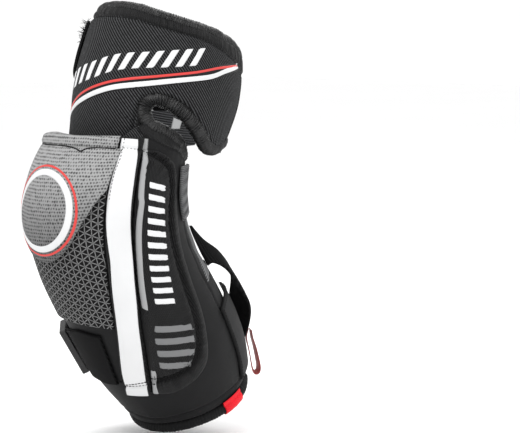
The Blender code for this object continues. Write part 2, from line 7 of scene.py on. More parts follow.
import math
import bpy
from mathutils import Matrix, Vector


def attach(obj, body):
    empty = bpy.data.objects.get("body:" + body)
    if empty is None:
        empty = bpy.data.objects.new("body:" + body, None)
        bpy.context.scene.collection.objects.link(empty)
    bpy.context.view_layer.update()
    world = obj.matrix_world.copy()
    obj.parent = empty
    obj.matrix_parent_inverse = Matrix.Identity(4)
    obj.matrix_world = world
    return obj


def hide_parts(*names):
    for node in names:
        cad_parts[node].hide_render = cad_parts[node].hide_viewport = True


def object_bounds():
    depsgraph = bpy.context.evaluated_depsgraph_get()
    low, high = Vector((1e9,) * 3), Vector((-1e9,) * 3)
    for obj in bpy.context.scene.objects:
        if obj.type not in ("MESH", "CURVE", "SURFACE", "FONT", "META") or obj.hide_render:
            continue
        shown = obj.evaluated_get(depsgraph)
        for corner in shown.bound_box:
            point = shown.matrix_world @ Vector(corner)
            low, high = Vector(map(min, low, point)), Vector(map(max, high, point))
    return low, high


bl_info = {
    "name": "Elbow pad",
    "version": (1, 0, 0),
    "blender": (4, 5, 0),
    "location": "3D View > Sidebar > Elbow pad",
    "description": "Makes the cloth, rolls, stitches and straps of an elbow pad",
    "category": "Object",
}

import bpy
import numpy as np
from mathutils import Vector, noise
from mathutils.bvhtree import BVHTree

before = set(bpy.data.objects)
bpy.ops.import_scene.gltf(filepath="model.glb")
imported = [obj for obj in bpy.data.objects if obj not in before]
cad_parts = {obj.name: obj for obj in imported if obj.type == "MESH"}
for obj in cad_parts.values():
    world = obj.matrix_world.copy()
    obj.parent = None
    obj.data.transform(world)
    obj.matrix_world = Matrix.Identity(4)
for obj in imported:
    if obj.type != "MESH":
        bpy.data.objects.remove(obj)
CAD_BOX = [[float(v) for v in corner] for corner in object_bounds()]
MM = 0.001
BODY = "root"

# Sections of the two arms and outlines of the pieces, in millimetres and degrees
FOREARM = [  # x, z, lean, radius towards the elbow, towards the crease, sideways
    (80, -152.99, -33, 47, 47, 47),
    (68, -132.99, -33, 53, 53, 53),
    (52.99, -112, -32, 57, 57, 57),
    (36, -85.98, -31, 58, 57, 58),
    (19.01, -60, -29, 58, 56, 57),
    (4.99, -32.99, -22, 59, 56, 57),
    (-0.99, -4.99, -12, 61, 56, 57),
    (4, 24.99, -3, 57, 54, 53),
    (11.01, 47.01, 6, 50, 50, 50),
    (16, 62.02, 10, 48, 48, 48),
]
BICEPS = [  # x, z, lean, radius towards the elbow, towards the crease, sideways
    (30.02, 22.02, 8, 55, 56, 56),
    (35.49, 42.02, 12, 58, 58, 58),
    (42.02, 62.02, 14, 61, 61, 61),
    (48, 83.01, 16, 62, 63, 63),
    (52.99, 104, 17, 60, 62, 62),
    (56.99, 124.99, 18, 54, 58, 57),
    (57.98, 136, 18, 48, 52, 51),
]
GUARD_EDGES = [  # angle, station of the lower edge, station of the top roll
    (-112, -13.98, 59.01),
    (-95, -12, 62.02),
    (-78, -5.98, 64.99),
    (-64, -0.99, 67.01),
    (-54, -2.02, 68),
    (-47, -13.98, 68.99),
    (-42, -32.99, 68.99),
    (-22, -35.01, 69.5),
    (0, -35.01, 69.5),
    (20, -35.01, 68.51),
    (33, -35, 66.5),
    (40, -32, 65.98),
    (43, -24, 65.5),
    (45, -12, 65.5),
    (47, 2, 64.99),
    (51, 6.5, 64.8),
    (55, 6.59, 64.51),
    (64, 4.19, 64),
    (74, -0.51, 64),
    (84, -5.98, 64),
    (93, -12.51, 63.49),
    (101, -18.02, 63.01),
    (110, -20, 62.5),
    (119, -18.02, 60.99),
    (128, -12.99, 60),
    (136, -8, 57.98),
]
NOTCH_ROLL_ABOVE = [  # angle, station on the upper arm
    (133, -9.5),
    (128, -12.99),
    (119, -18.02),
    (110, -20),
    (101, -18.02),
    (93, -12.51),
    (84, -5.98),
    (74, -0.51),
    (64, 4.19),
    (55, 6.59),
    (47, 7.01),
    (42.5, 4),
    (40.5, -2.02),
]
NOTCH_ROLL_BELOW = [  # angle, station on the forearm
    (68.5, 59.39),
    (75.3, 57.22),
    (89.8, 54.59),
    (104, 51.2),
    (117, 47.2),
    (128, 40.99),
    (136, 32.99),
]
CUFF_EDGES = [  # angle, station of the hem roll, station of the upper edge
    (-218, -176.99, -77.98),
    (-204, -176, -92),
    (-190, -173.98, -98.02),
    (-176, -172, -96.99),
    (-162, -171.01, -85.98),
    (-150, -169.98, -60),
    (-141, -168.99, -20),
    (-134, -168.51, 18.02),
    (-122, -168, 30.02),
    (-100, -168, 32),
    (-80, -167.01, 33.98),
    (-60, -167.01, 36),
    (-42, -167.01, 36.99),
    (-21, -167.49, 36.99),
    (0, -168, 36.99),
    (21, -168.99, 36.99),
    (42, -171.01, 40.99),
    (50, -172, 48),
    (58, -172.99, 54.5),
    (68.5, -173.98, 59.39),
    (75.3, -174.5, 56.51),
    (89.8, -176, 54.59),
    (104, -176.99, 51.2),
    (117, -178.02, 47.2),
    (128, -178.02, 40.99),
    (136, -178.02, 32.99),
    (139, -178.02, 22.02),
]
CREASE_ROLL = [  # angle, station
    (-138, 0),
    (-143, -27.01),
    (-150.5, -57.98),
    (-162, -83.01),
    (-176, -94.02),
    (-190, -95.01),
    (-204, -88.99),
    (-215, -77.98),
]
HEM_ROLL = [  # angle, station
    (-215, -180.99),
    (-196, -180),
    (-176, -178.02),
    (-156, -176.51),
    (-122, -172.99),
    (-80, -172),
    (-42, -172),
    (0, -172.99),
    (42, -176),
    (75, -179.49),
    (104, -181.98),
    (120, -182.5),
    (137, -182.5),
]
LINER_EDGES = [  # angle, lower station, upper station
    (-142, -20, 54.02),
    (-128, -12, 60.99),
    (-110, -5.98, 68.99),
    (-92, -2.02, 73.5),
    (-75, 0.99, 72.99),
]
CREASE_LINING_EDGES = [  # angle, lower station, upper station on the upper arm
    (-182, -14, 14),
    (-165, -16, 14),
    (-148, -18, 13),
    (-130, -18, 11),
    (-112, -16, 8),
    (-99, -9, 6),
]
MESH_EDGES = [  # left station, left angle, right station, right angle, lift, rise of the middle
    (-74.02, -58, -71.49, 30.2, 0, 8.99),
    (-60, -58, -57.98, 34.6, 0, 7.01),
    (-44.99, -58, -44, 38.8, 0, 4.51),
    (-30.02, -57, -28.99, 42.8, 0, 2.02),
    (-15.01, -56, -13.98, 45.2, 0, 0.51),
    (0, -54, 0, 46.8, 0, 0),
    (18.02, -52, 18.02, 47.9, 0, 0),
]
CAP_EDGES = [  # lower station, lower angle, upper station, upper angle
    (22.02, -51, 41.2, -54),
    (12, -47, 41.2, -49),
    (4, -41, 41.2, -43),
    (-7.01, -33, 41.2, -35),
    (-16.99, -22, 41.2, -23),
    (-21.5, -11, 41.2, -11),
    (-22.02, 0, 41.2, 0),
    (-19.01, 11, 41.2, 12),
    (-12.51, 22, 41.2, 25),
    (0, 33, 41.2, 37),
    (10.5, 41, 41.2, 46),
    (16.99, 47.4, 41.2, 52.4),
]
COLLAR_EDGES = [  # angle, lower station, upper station
    (-62, 37, 47.6),
    (-40, 36, 48.4),
    (-20, 36, 49),
    (-5, 36, 48.2),
    (10, 36, 47.6),
    (30, 36, 48.2),
    (48.5, 36.5, 49),
]
SLASH_EDGES = [  # left station, left angle, right station, right angle
    (-132.51, 31, -138.02, 45),
    (-128, 33.2, -136.99, 58),
    (-121.98, 35.4, -134.02, 70),
    (-112, 38.5, -125.98, 81),
    (-94.02, 43.8, -108, 89),
    (-75.01, 49.8, -85.98, 95),
    (-54.02, 56.8, -62.02, 99.5),
    (-33.98, 62.3, -40, 102.5),
    (-12, 66.1, -18.02, 104),
    (8, 68.3, 2.02, 104.5),
    (22.02, 69.1, 18.02, 104),
    (31.01, 68.9, 28.99, 101),
    (37.98, 68.6, 36, 93),
    (40.99, 68.3, 40.42, 82),
]
STRIPE_EDGES = [  # left station, left angle, right station, right angle
    (-131, 9.5, -134.6, 30.2),
    (-116.99, 15, -121.98, 34.6),
    (-103.01, 19, -112, 37.7),
    (-84.99, 26, -94.02, 43),
    (-68.99, 31.8, -75.01, 49),
    (-49.98, 38, -54.02, 56),
    (-31.01, 43.3, -33.98, 61.5),
    (-9.98, 46.8, -12, 65.3),
    (8, 48.4, 8, 67.5),
    (22.02, 49, 22.02, 68.3),
    (32.99, 50, 32.99, 68.3),
    (40.99, 49.6, 40.99, 68.5),
    (48.6, 49, 49, 68.5),
]
LOWER_STRAP_EDGES = [  # lower station, lower angle, upper station, upper angle
    (-128, -66, -84, -66),
    (-127.01, -50, -81.98, -50),
    (-124, -34, -77.98, -34),
    (-120, -18, -74.02, -18),
    (-120.99, -4, -71.01, -4),
    (-120.99, 8, -75.01, 16),
]
FLAP_EDGES = [  # lower station, lower angle, upper station, upper angle, lift
    (-172, 110, -107, 115, 0),
    (-172, 118, -106, 123, 0.3),
    (-172, 128, -105, 132, 1),
    (-172, 140, -104.5, 144, 1.8),
    (-172, 152, -105, 154, 1.5),
]
EDGE_BAND = [  # lower station, lower angle, upper station, upper angle
    (26, 115, 26, 138),
    (10, 115, 10, 139.5),
    (-6, 115, -6, 140),
    (-22, 117, -22, 140),
]
LOWER_BAND = [  # left station, left angle, right station, right angle
    (-23, 126, -23, 138),
    (-44, 127, -44, 138),
    (-66, 126, -64, 138),
    (-84, 119, -80, 138),
]
UPPER_STRAP = [  # angle, lower station, upper station, lift
    (128, 5.98, 49.98, -12.96),
    (140, 7.01, 51.01, -12),
    (160, 8.99, 52.99, -7.2),
    (180, 11.01, 54.02, -4),
    (205, 12, 55.01, -1.6),
    (228, 12.99, 56, 0.16),
    (245, 13.98, 56.99, 0.56),
    (270, 15.01, 57.98, 0.64),
    (296, 16, 59.01, 0.64),
    (312, 20, 60, 0.64),
    (322, 24.99, 60, 0.64),
]
FOREARM_STRAP = [  # lower station, lower angle, upper station, upper angle, lift
    (-79, 138, -36, 139, 0.2),
    (-80, 140, -56, 142, 5),
    (-92, 143, -73, 147, 10.5),
    (-114, 146, -91, 153, 13),
    (-135.01, 149, -111.01, 162, 14.5),
    (-148, 149, -125.98, 167, 10.5),
    (-158.02, 148, -140, 169, 4),
]
PULL_LOOP = [  # down the arm and out from it, from the strap's end
    (-5, 0),
    (0, 0),
    (4, 1.1),
    (11, 4.8),
    (19, 8.7),
    (26, 12),
    (30, 14.8),
    (29.5, 17.8),
    (25, 17.7),
    (17, 14),
    (9, 9.8),
    (2, 5.6),
    (-4, 3),
]
TOP_STITCH = [  # station, angle on the upper arm
    (61.5, -100), (63, -60), (61.7, -28), (59.3, 20), (56.1, 46), (55, 81), (51.1, 106), (48, 122),
    (44, 134),
]
NOTCH_STITCH = [  # station, angle on the upper arm
    (-20.5, 128), (-20, 116), (-16.7, 105.2), (-12.5, 97.5), (-4.1, 85.4), (4.6, 74.1), (7.5, 64.9),
    (9.1, 56), (8.2, 46.5), (3.2, 39.3), (-9, 37.3), (-20, 37.5),
]
LOWER_STITCH = [  # station, angle on the forearm
    (61.5, 50), (58.4, 58), (51.5, 66), (47.4, 80), (43.5, 93.9), (40.4, 110.4), (33, 124),
]
RED_LINE = [  # station, angle on the upper arm
    (-6.5, -46), (-5.5, -38), (5.4, -12), (13.7, 13.8), (21.3, 42.9), (30.8, 70.1), (41.2, 93.1), (50, 118),
]
WHITE_LINE = [  # station, angle on the upper arm
    (-12.5, -46), (-10.1, -40), (-0.1, -10.4), (8.3, 15), (15.8, 44.1), (29.4, 81.9), (39.2, 99),
    (48.4, 118),
]
SLASH_STITCH = [  # station, angle on the forearm
    (44, 47), (41.1, 54), (40.4, 66.9), (37.9, 75), (34.3, 83.7), (30.3, 89.5), (25.3, 93.9), (10.6, 96.2),
    (-1.6, 94.3), (-14.8, 92.4), (-40, 91.5), (-65, 88.5), (-90, 84), (-108, 78), (-118, 71), (-122, 60),
    (-121, 45), (-119, 32), (-118, 14),
]
BARS_LOW = [(3, -50), (6.5, -38), (13.4, -4), (20.4, 17), (25, 37.7), (30, 57.3), (38.2, 81.1)]
BARS_HIGH = [(17, -52), (20, -42), (26, -7.6), (32.8, 15.5), (37.4, 36.8), (43.4, 56.9), (52.4, 83.3)]
COLUMN_LEFT = [(22, 76.2), (-1.8, 75.2), (-24.2, 71.9), (-47.8, 67.3), (-66, 62.5)]
COLUMN_RIGHT = [(19, 89.5), (-4, 88), (-29, 85.5), (-53, 80.5), (-72, 75.5)]
LOWER_LEFT = [(-76, 57), (-84, 53), (-95, 50), (-106, 47.5), (-115, 46)]
LOWER_RIGHT = [(-88.5, 79.5), (-98.5, 79), (-108.5, 76), (-117.5, 71), (-124, 64)]
PIN_LEFT = [  # station, angle on the forearm
    (48.5, 67.7), (41, 68.2), (34.6, 68.7), (28.2, 69.3), (11.6, 69.3), (3.2, 69.3), (-28.8, 63.6),
    (-54.4, 56.5), (-61.5, 55),
]
PIN_RIGHT = [  # station, angle on the forearm
    (48.6, 72.6), (41.2, 73.8), (34.5, 73.9), (27.9, 73.6), (10.9, 73.5), (2.3, 73.4), (-30.4, 67.6),
    (-56.7, 60.8), (-64.7, 58.4),
]
PIN_END_LEFT = [(-110.3, 40), (-118, 37), (-126, 34), (-133.1, 31.4)]
PIN_END_RIGHT = [(-112.1, 44), (-119, 41.6), (-127, 39), (-135.1, 36.3)]
STRIPE_LEFT = [  # station, angle on the forearm
    (48, 49.5), (36.5, 50), (22.3, 48.2), (16, 48.4), (-16.2, 47.6), (-31.8, 45), (-69, 33.6),
    (-104.4, 20.8), (-118.6, 16.4), (-129.5, 12),
]
STRIPE_RIGHT = [  # station, angle on the forearm
    (48, 62.5), (40, 64.4), (30.9, 65.5), (13.8, 65.4), (-20.8, 63), (-47, 56.9), (-75.7, 47.1),
    (-102.5, 38.6), (-123, 32.2), (-133.5, 28.6),
]
CUFF_SEAM = [  # station, angle on the forearm
    (48, 132), (20, 128), (-30, 122), (-80, 118), (-110, 117), (-129.5, 118.4), (-152.2, 115.2),
    (-172, 109.3),
]
HEM_STITCH = [  # station, angle on the forearm
    (-160, -120), (-156, -80), (-155, -45), (-157, -12), (-161.7, 16.7), (-163.6, 41), (-167, 76),
    (-170, 101), (-171.5, 120),
]
COLLAR_STITCH = [  # station, angle on the forearm
    (41.3, -56), (41.2, -40), (41.3, -20), (41.2, -2), (40.9, 10), (40.2, 17), (39, 22), (40.4, 26),
    (41.1, 34), (41, 46),
]
STRIPE_TOP_STITCH = [(41.4, 47), (41.6, 56), (40.8, 66), (39.2, 73)]
PIPING_STITCH = [(47, 52), (36.5, 52.6), (28, 51.2), (20, 50.4), (12, 50)]
STRIPE_END_STITCH = [(-119.5, 10), (-121.5, 20), (-123, 33), (-123, 44)]
GUARD_EDGE_STITCH = [(-14, 127), (0, 127), (20, 127), (44, 128)]
FLAP_STITCHES = [[(-109, 116.5), (-140, 114), (-170, 112)], [(-108.5, 117), (-107, 134), (-106.5, 150)]]
TAB_LEFT = [(-4.5, 64), (-13, 64.5)]
TAB_RIGHT = [(-6, 71), (-11.5, 71)]
TUFT_LEFT = [(43, 318), (59.5, 317)]
TUFT_RIGHT = [(43.5, 319.5), (59.5, 321.5)]
RING_AT = (1.8, -3.4)  # y and z of the middle of the ring on the cap
MESH_PITCH = 5.0  # distance between the threads of one family in the side mesh
MESH_TURNS = (0.0, 60.0, 120.0)  # directions of its three families of threads
SEAT = 0.12  # share of a panel's wall that lies below its seat
SINK = 0.0001  # depth of a print's border in the cloth, in metres
PRINT_STEPS = 200
SEAM_LIFT = 0.00012  # height of the stitches above the cloth, in metres
LABEL_ANGLES = (79, 104)
LABEL_TURNS = (44, -150)  # turn round the hem roll where the label's fold starts and ends
LABEL_RISE = (6.5, 0.5)  # heights above the fold of the part that lies on the cuff, in millimetres
LABEL_LIFT = 0.0011
FIBRES = 520000.0  # loose fibres on a square metre of a strap's end
FIBRE_THICKNESS = 0.0003

# View and light
VIEW_TURN, VIEW_RISE = -41, 5
CAMERA_DISTANCE = 1.7
SENSOR_WIDTH = 36.0
PIXEL = 0.00075  # metres of the pad in one pixel
IMAGE_WIDTH = 520
AIM_RIGHT, AIM_UP = 0.1125, -0.0124
FLOOR_SIDE, FLOOR_DROP = 6.0, 0.004
SKY = 1.02
LAMPS = (  # name, place towards the camera, to the right and up, size, watts
    ("key", (0.7, -0.5, 1.3), 0.7, 14.0),
    ("fill", (0.8, 1.3, 0.5), 0.7, 4.0),
    ("rim", (-0.7, 0.7, 1.1), 0.8, 9.0),
)


def length(name, description, millimetres):
    """Property for a length, its default in millimetres."""
    return bpy.props.FloatProperty(
        name=name, description=description, default=millimetres * MM, min=0.0, precision=5, unit="LENGTH"
    )


def colour(name, description, value):
    """Property for a colour."""
    return bpy.props.FloatVectorProperty(
        name=name, description=description, default=value, size=3, min=0.0, max=1.0, subtype="COLOR"
    )


class PadSizes(bpy.types.PropertyGroup):
    """Sizes of the elbow pad"""

    guard_wall: length("Guard wall", "Thickness of the padded upper arm guard", 8.0)
    cuff_wall: length("Cuff wall", "Thickness of the soft cuff", 6.0)
    slash_wall: length("Slash guard wall", "Thickness of the slash guard", 8.0)
    stripe_wall: length("Stripe wall", "Thickness of the padded stripe", 5.5)
    cap_wall: length("Cap wall", "Thickness of the elbow cap at its crown", 5.5)
    mesh_wall: length("Mesh wall", "Thickness of the side mesh", 2.0)
    liner_wall: length("Liner wall", "Thickness of the grey lining", 1.6)
    strap_wall: length("Strap wall", "Thickness of the elastic straps", 2.2)
    roll: length("Notch roll", "Radius of the roll round the notch", 5.0)
    edge_roll: length("Edge roll", "Radius of the top and hem rolls", 4.6)
    crease_roll: length("Crease roll", "Radius of the roll at the elbow crease", 3.2)
    gap: length("Layer gap", "Room between two layers", 0.4)
    gather_pitch: length("Gather pitch", "Distance between the gathers of a roll", 1.7)
    gather_depth: length("Gather depth", "Depth of the gathers of a roll", 0.44)
    stitch_pitch: length("Stitch pitch", "Distance between two stitches", 2.6)
    stitch_length: length("Stitch length", "Length of one stitch", 2.1)
    thread: length("Thread", "Thickness of the sewing thread", 0.62)
    band_wall: length("Edge band wall", "Thickness of the ribbed band on the cuff's edge", 2.4)
    ribbon_width: length("Ribbon width", "Width of the pull loop's ribbon", 6.0)
    ribbon_wall: length("Ribbon wall", "Thickness of the pull loop's ribbon", 0.8)
    label_wall: length("Label wall", "Thickness of the folded label", 0.9)
    fibre: length("Fibre", "Length of the loose fibres at a strap's end", 4.6)
    print_height: length("Print height", "Height of a printed line above the cloth", 0.22)
    ring_radius: length("Ring radius", "Outer radius of the white ring on the cap", 31.0)
    ring_width: length("Ring width", "Width of the white ring on the cap", 5.6)


class PadColours(bpy.types.PropertyGroup):
    """Colours of the elbow pad"""

    twill: colour("Twill", "Charcoal cloth of the upper arm guard", (0.0150, 0.0152, 0.0158))
    satin: colour("Rolls", "Black cloth of the rolls and slash guard", (0.0030, 0.0030, 0.0033))
    cuff: colour("Cuff", "Black cloth of the cuff", (0.0056, 0.0056, 0.0060))
    knit: colour("Knit", "Grey knit of the elbow cap", (0.225, 0.2255, 0.226))
    lattice: colour("Mesh thread", "Light grey thread of the side mesh", (0.225, 0.2255, 0.226))
    white: colour("White skin", "White synthetic of the stripe", (0.66, 0.663, 0.668))
    grey: colour("Grey print", "Grey printed lines", (0.155, 0.157, 0.16))
    pale: colour("Pale print", "Pale grey printed lines", (0.30, 0.303, 0.306))
    red: colour("Red", "Red line and label", (0.62, 0.009, 0.018))
    coral: colour("Red line", "Printed red line", (0.60, 0.045, 0.04))
    ribbon: colour("Pull loop", "Dark red ribbon", (0.30, 0.035, 0.03))
    lining: colour("Lining", "Grey lining", (0.060, 0.061, 0.064))
    strap: colour("Straps", "Black elastic", (0.0042, 0.0042, 0.0045))
    plastic: colour("Buckle", "Black plastic", (0.0060, 0.0060, 0.0064))
    floor: colour("Floor", "Pale studio floor", (0.965, 0.965, 0.965))


# Surfaces


def along(rows, t):
    """Values at t, from 0 to 1, on a smooth line through rows of numbers."""
    rows = np.asarray(rows, float)
    last = len(rows) - 1
    slopes = np.empty_like(rows)
    slopes[0] = rows[1] - rows[0]
    slopes[-1] = rows[-1] - rows[-2]
    slopes[1:-1] = (rows[2:] - rows[:-2]) / 2
    place = np.clip(np.asarray(t, float), 0, 1) * last
    i = np.minimum(place.astype(int), last - 1)
    k = (place - i)[..., None]
    value = (2 * k**3 - 3 * k**2 + 1) * rows[i] + (k**3 - 2 * k**2 + k) * slopes[i]
    return value + (3 * k**2 - 2 * k**3) * rows[i + 1] + (k**3 - k**2) * slopes[i + 1]


def run_along(points):
    """Distance along a line of points, at each of them."""
    return np.r_[0, np.cumsum(np.linalg.norm(np.diff(points, axis=0), axis=1))]


def evenly(points, count):
    """Points at equal steps along a line of points."""
    points = np.asarray(points, float)
    steps = run_along(points)
    goal = np.linspace(0, steps[-1], count)
    return np.stack([np.interp(goal, steps, points[:, k]) for k in range(points.shape[1])], -1)


def soften(points, times):
    """The same line with its corners eased, its ends kept."""
    points = np.array(points, float)
    for _ in range(times):
        points[1:-1] = (points[:-2] + 2 * points[1:-1] + points[2:]) / 4
    return points


def unit(v):
    """Vectors of length one with the same directions."""
    return v / np.maximum(np.linalg.norm(v, axis=-1, keepdims=True), 1e-12)


def grain(points, size, seed=0.0):
    """Smooth noise from -1 to 1 at an array of points, with lumps of the given size."""
    flat = points.reshape(-1, 3) / size + seed
    values = [noise.noise(Vector(p)) for p in flat.tolist()]
    return np.array(values).reshape(points.shape[:-1])


class Arm:
    """Smooth surface through a row of leaning oval sections, addressed by station and angle."""

    def __init__(self, rows, zero):
        self.rows = np.array(rows, float) * (MM, MM, 1, MM, MM, MM)
        self.stations = run_along(self.rows[:, :2])
        self.stations -= np.interp(zero * MM, self.rows[:, 1], self.stations)
        self.slopes = np.gradient(self.rows, self.stations, axis=0)
        self.run = None

    def section(self, station):
        station = np.asarray(station, float)
        i = np.clip(np.searchsorted(self.stations, station) - 1, 0, len(self.stations) - 2)
        h = (self.stations[i + 1] - self.stations[i])[..., None]
        t = (station - self.stations[i])[..., None] / h
        k = np.clip(t, 0, 1)
        value = (2 * k**3 - 3 * k**2 + 1) * self.rows[i] + (k**3 - 2 * k**2 + k) * h * self.slopes[i]
        value += (3 * k**2 - 2 * k**3) * self.rows[i + 1] + (k**3 - k**2) * h * self.slopes[i + 1]
        return value + (t - k) * h * np.where(t < 0, self.slopes[i], self.slopes[i + 1])

    def spot(self, station, angle):
        """Place on the cloth in metres: round the arm, and along it as measured near the elbow's outside."""
        if self.run is None:
            steps = np.linspace(-0.22, 0.16, 500)
            line = self.at(steps, np.full(500, 25.0), 0.004)
            run = run_along(line)
            self.run = steps, run - np.interp(0.0, steps, run)
        return np.stack([np.radians(angle) * 0.060, np.interp(station, *self.run)], -1)

    def at(self, station, angle, lift=0.0):
        x, z, lean, elbow, crease, side = np.moveaxis(self.section(station), -1, 0)
        a, tilt = np.radians(angle), np.radians(lean)
        reach = (np.where(np.cos(a) > 0, elbow, crease) + lift) * np.cos(a)
        return np.stack([x - reach * np.cos(tilt), -(side + lift) * np.sin(a), z + reach * np.sin(tilt)], -1)


UPPER = Arm(BICEPS, 62)
FORE = Arm(FOREARM, 0)


class Patch:
    """Part of an arm between two edge lines, addressed by u across and v along, both from 0 to 1."""

    def __init__(self, arm, rows):
        self.arm = arm
        self.rows = np.array([(*row, 0, 0)[:6] for row in rows], float)
        fine = np.linspace(0, 1, 400)
        line = arm.at(*self.place(np.full(400, 0.5), fine, raw=True))
        steps = run_along(line)
        self.even = lambda v: np.interp(v, steps / steps[-1], fine)

    def place(self, u, v, raw=False):
        rows = along(self.rows, v if raw else self.even(v))
        low_s, low_a, high_s, high_a, lift, rise = np.moveaxis(rows, -1, 0)
        station = low_s + (high_s - low_s) * u + rise * 4 * u * (1 - u)
        return station * MM, low_a + (high_a - low_a) * u, lift * MM


def by_angle(rows):
    """Rows of an angle and two stations as the edge lines that a patch takes."""
    return [(row[1], row[0], row[2], row[0], *row[3:]) for row in rows]


def spaced(count, crowd=0.55):
    """Numbers from 0 to 1, closer together near both ends."""
    t = np.linspace(0, 1, count)
    return (1 - crowd) * t + crowd * (0.5 - 0.5 * np.cos(math.pi * t))


def near(path, station, angle):
    """Distance from places on an arm to a line of places, and how far along the line, in metres."""
    fine = along(path, np.linspace(0, 1, len(path) * 4))
    line = np.stack([fine[:, 0] * MM, np.radians(fine[:, 1]) * 0.055], -1)
    spot = np.stack([station, np.radians(angle) * 0.055], -1)
    best = np.full(station.shape, 9.0)
    far = np.zeros(station.shape)
    run = 0.0
    for a, b in zip(line, line[1:]):
        step = b - a
        size = float(np.hypot(*step))
        t = np.clip(((spot - a) @ step) / size**2, 0, 1)
        gap = np.linalg.norm(spot - a - t[..., None] * step, axis=-1)
        closer = gap < best
        best = np.where(closer, gap, best)
        far = np.where(closer, run + t * size, far)
        run += size
    return best, far


def groove(gap, width, depth):
    """Rounded dip of a face at a line, by the distance from it."""
    return -depth * np.exp(-((gap / width) ** 2))


def seam_relief(path, station, angle, width, depth, pitch=1.0, fold=0.0, reach=1.0):
    """Groove along a seam, and puckers of the given pitch, depth and reach beside it."""
    gap, run = near(path, station, angle)
    return groove(gap, width, depth) + puckers(gap, run, pitch, fold, reach)


def puckers(gap, run, pitch, depth, reach):
    """Small folds that start at a seam and fade away from it."""
    wave = np.sin(2 * math.pi * run / pitch + 2.2 * np.sin(run * 610) + 1.4 * np.sin(run * 233))
    return depth * wave * np.exp(-gap / reach) * np.clip(gap / (0.35 * reach), 0, 1)


# Meshes


def add_mesh(name, points, faces, spots, finishes, marks=None):
    """Mesh object with smooth faces that point outwards, its UV map in decimetres."""
    points = np.asarray(points, float)
    faces = np.asarray(faces, int)
    quad = points[faces]
    if faces.shape[1] == 4:
        turn = np.cross(quad[:, 2] - quad[:, 0], quad[:, 3] - quad[:, 1])
    else:
        turn = np.cross(quad[:, 1] - quad[:, 0], quad[:, 2] - quad[:, 0])
    if (turn * quad.mean(axis=1)).sum() < 0:
        faces = faces[:, ::-1]
    mesh = bpy.data.meshes.new(name)
    mesh.from_pydata(points.tolist(), [], faces.tolist())
    layer = mesh.uv_layers.new(name="UVMap")
    corners = np.empty(len(mesh.loops), int)
    mesh.loops.foreach_get("vertex_index", corners)
    layer.data.foreach_set("uv", (np.asarray(spots, float)[corners] * 10).astype(np.float32).ravel())
    mesh.polygons.foreach_set("use_smooth", [True] * len(faces))
    for finish in finishes:
        mesh.materials.append(finish)
    if marks is not None:
        mesh.polygons.foreach_set("material_index", np.asarray(marks, np.int32))
    mesh.update()
    obj = bpy.data.objects.new(name, mesh)
    bpy.context.scene.collection.objects.link(obj)
    return obj


def inner(shape):
    """1 inside a grid and 0 on its border."""
    share = np.zeros(shape)
    share[1:-1, 1:-1] = 1
    return share


def quads(index, step=1):
    """Faces between the neighbours in a grid of point numbers."""
    corners = index[:-1, :-1], index[:-1, 1:], index[1:, 1:], index[1:, :-1]
    return np.stack(corners, -1).reshape(-1, 4)[:, ::step]


def sandwich(name, top, low, spots, finishes, choice=None):
    """Closed body between two grids of points that meet along their border.

    The lower grid takes the last finish. choice holds the number of the finish at each point of the upper
    grid, where it isn't the first all over.
    """
    rows, cols = top.shape[:2]
    upper = np.arange(rows * cols).reshape(rows, cols)
    inside = inner((rows, cols)) > 0
    lower = upper.copy()
    lower[inside] = rows * cols + np.arange(inside.sum())
    points = np.concatenate([top.reshape(-1, 3), low[inside]])
    flat = np.concatenate([spots.reshape(-1, 2), spots[inside]])
    faces = np.concatenate([quads(upper), quads(lower, -1)])
    half = len(faces) // 2
    above = np.zeros(half) if choice is None else choice[:-1, :-1].ravel()
    marks = np.r_[above, np.full(half, len(finishes) - 1)]
    return add_mesh(name, points, faces, flat, finishes, marks)


def lip(gap, size):
    """Rounding of an edge: 0 on the edge, 1 at that size from it."""
    share = np.clip(gap / size, 0, 1)
    return np.sqrt(np.maximum(1 - (1 - share) ** 2, 0))


def shell(name, patch, wall, finishes, counts, base=0.0, outward=True, edge=1.0, power=4.0, soft=0.003,
          relief=None, choose=None):
    """Padded panel on a patch: crowned, with rounded edges, and with any relief of its outer face.

    It stands on its base, or has the base in its middle where outward is False. edge is the share of the wall
    that is left at the rim, and soft the size of its rounding.
    """
    u, v = np.meshgrid(spaced(counts[0]), spaced(counts[1]))
    station, angle, lift = patch.place(u, v)
    face = patch.arm.at(station, angle, base + lift)

    def margins(axis):
        steps = np.linalg.norm(np.diff(face, axis=axis), axis=-1)
        start = np.zeros_like(np.take(steps, [0], axis))
        run = np.concatenate([start, np.cumsum(steps, axis=axis)], axis=axis)
        return np.minimum(run, np.take(run, [-1], axis) - run)

    full = lip(margins(0), soft) * lip(margins(1), soft)
    crown = edge + (1 - edge) * (1 - np.abs(2 * u - 1) ** power) * (1 - np.abs(2 * v - 1) ** power)
    extra = relief(station, angle, face) if relief else 0.0
    seat = base + lift + (SEAT * wall if outward else -wall / 2)
    above = (wall * crown - SEAT * wall if outward else wall / 2) + extra
    below = SEAT * wall if outward else wall / 2
    top = patch.arm.at(station, angle, seat + full * above)
    low = patch.arm.at(station, angle, seat - full * below)
    marks = choose(station, angle) if choose else None
    return sandwich(name, top, low, patch.arm.spot(station, angle), finishes, marks)


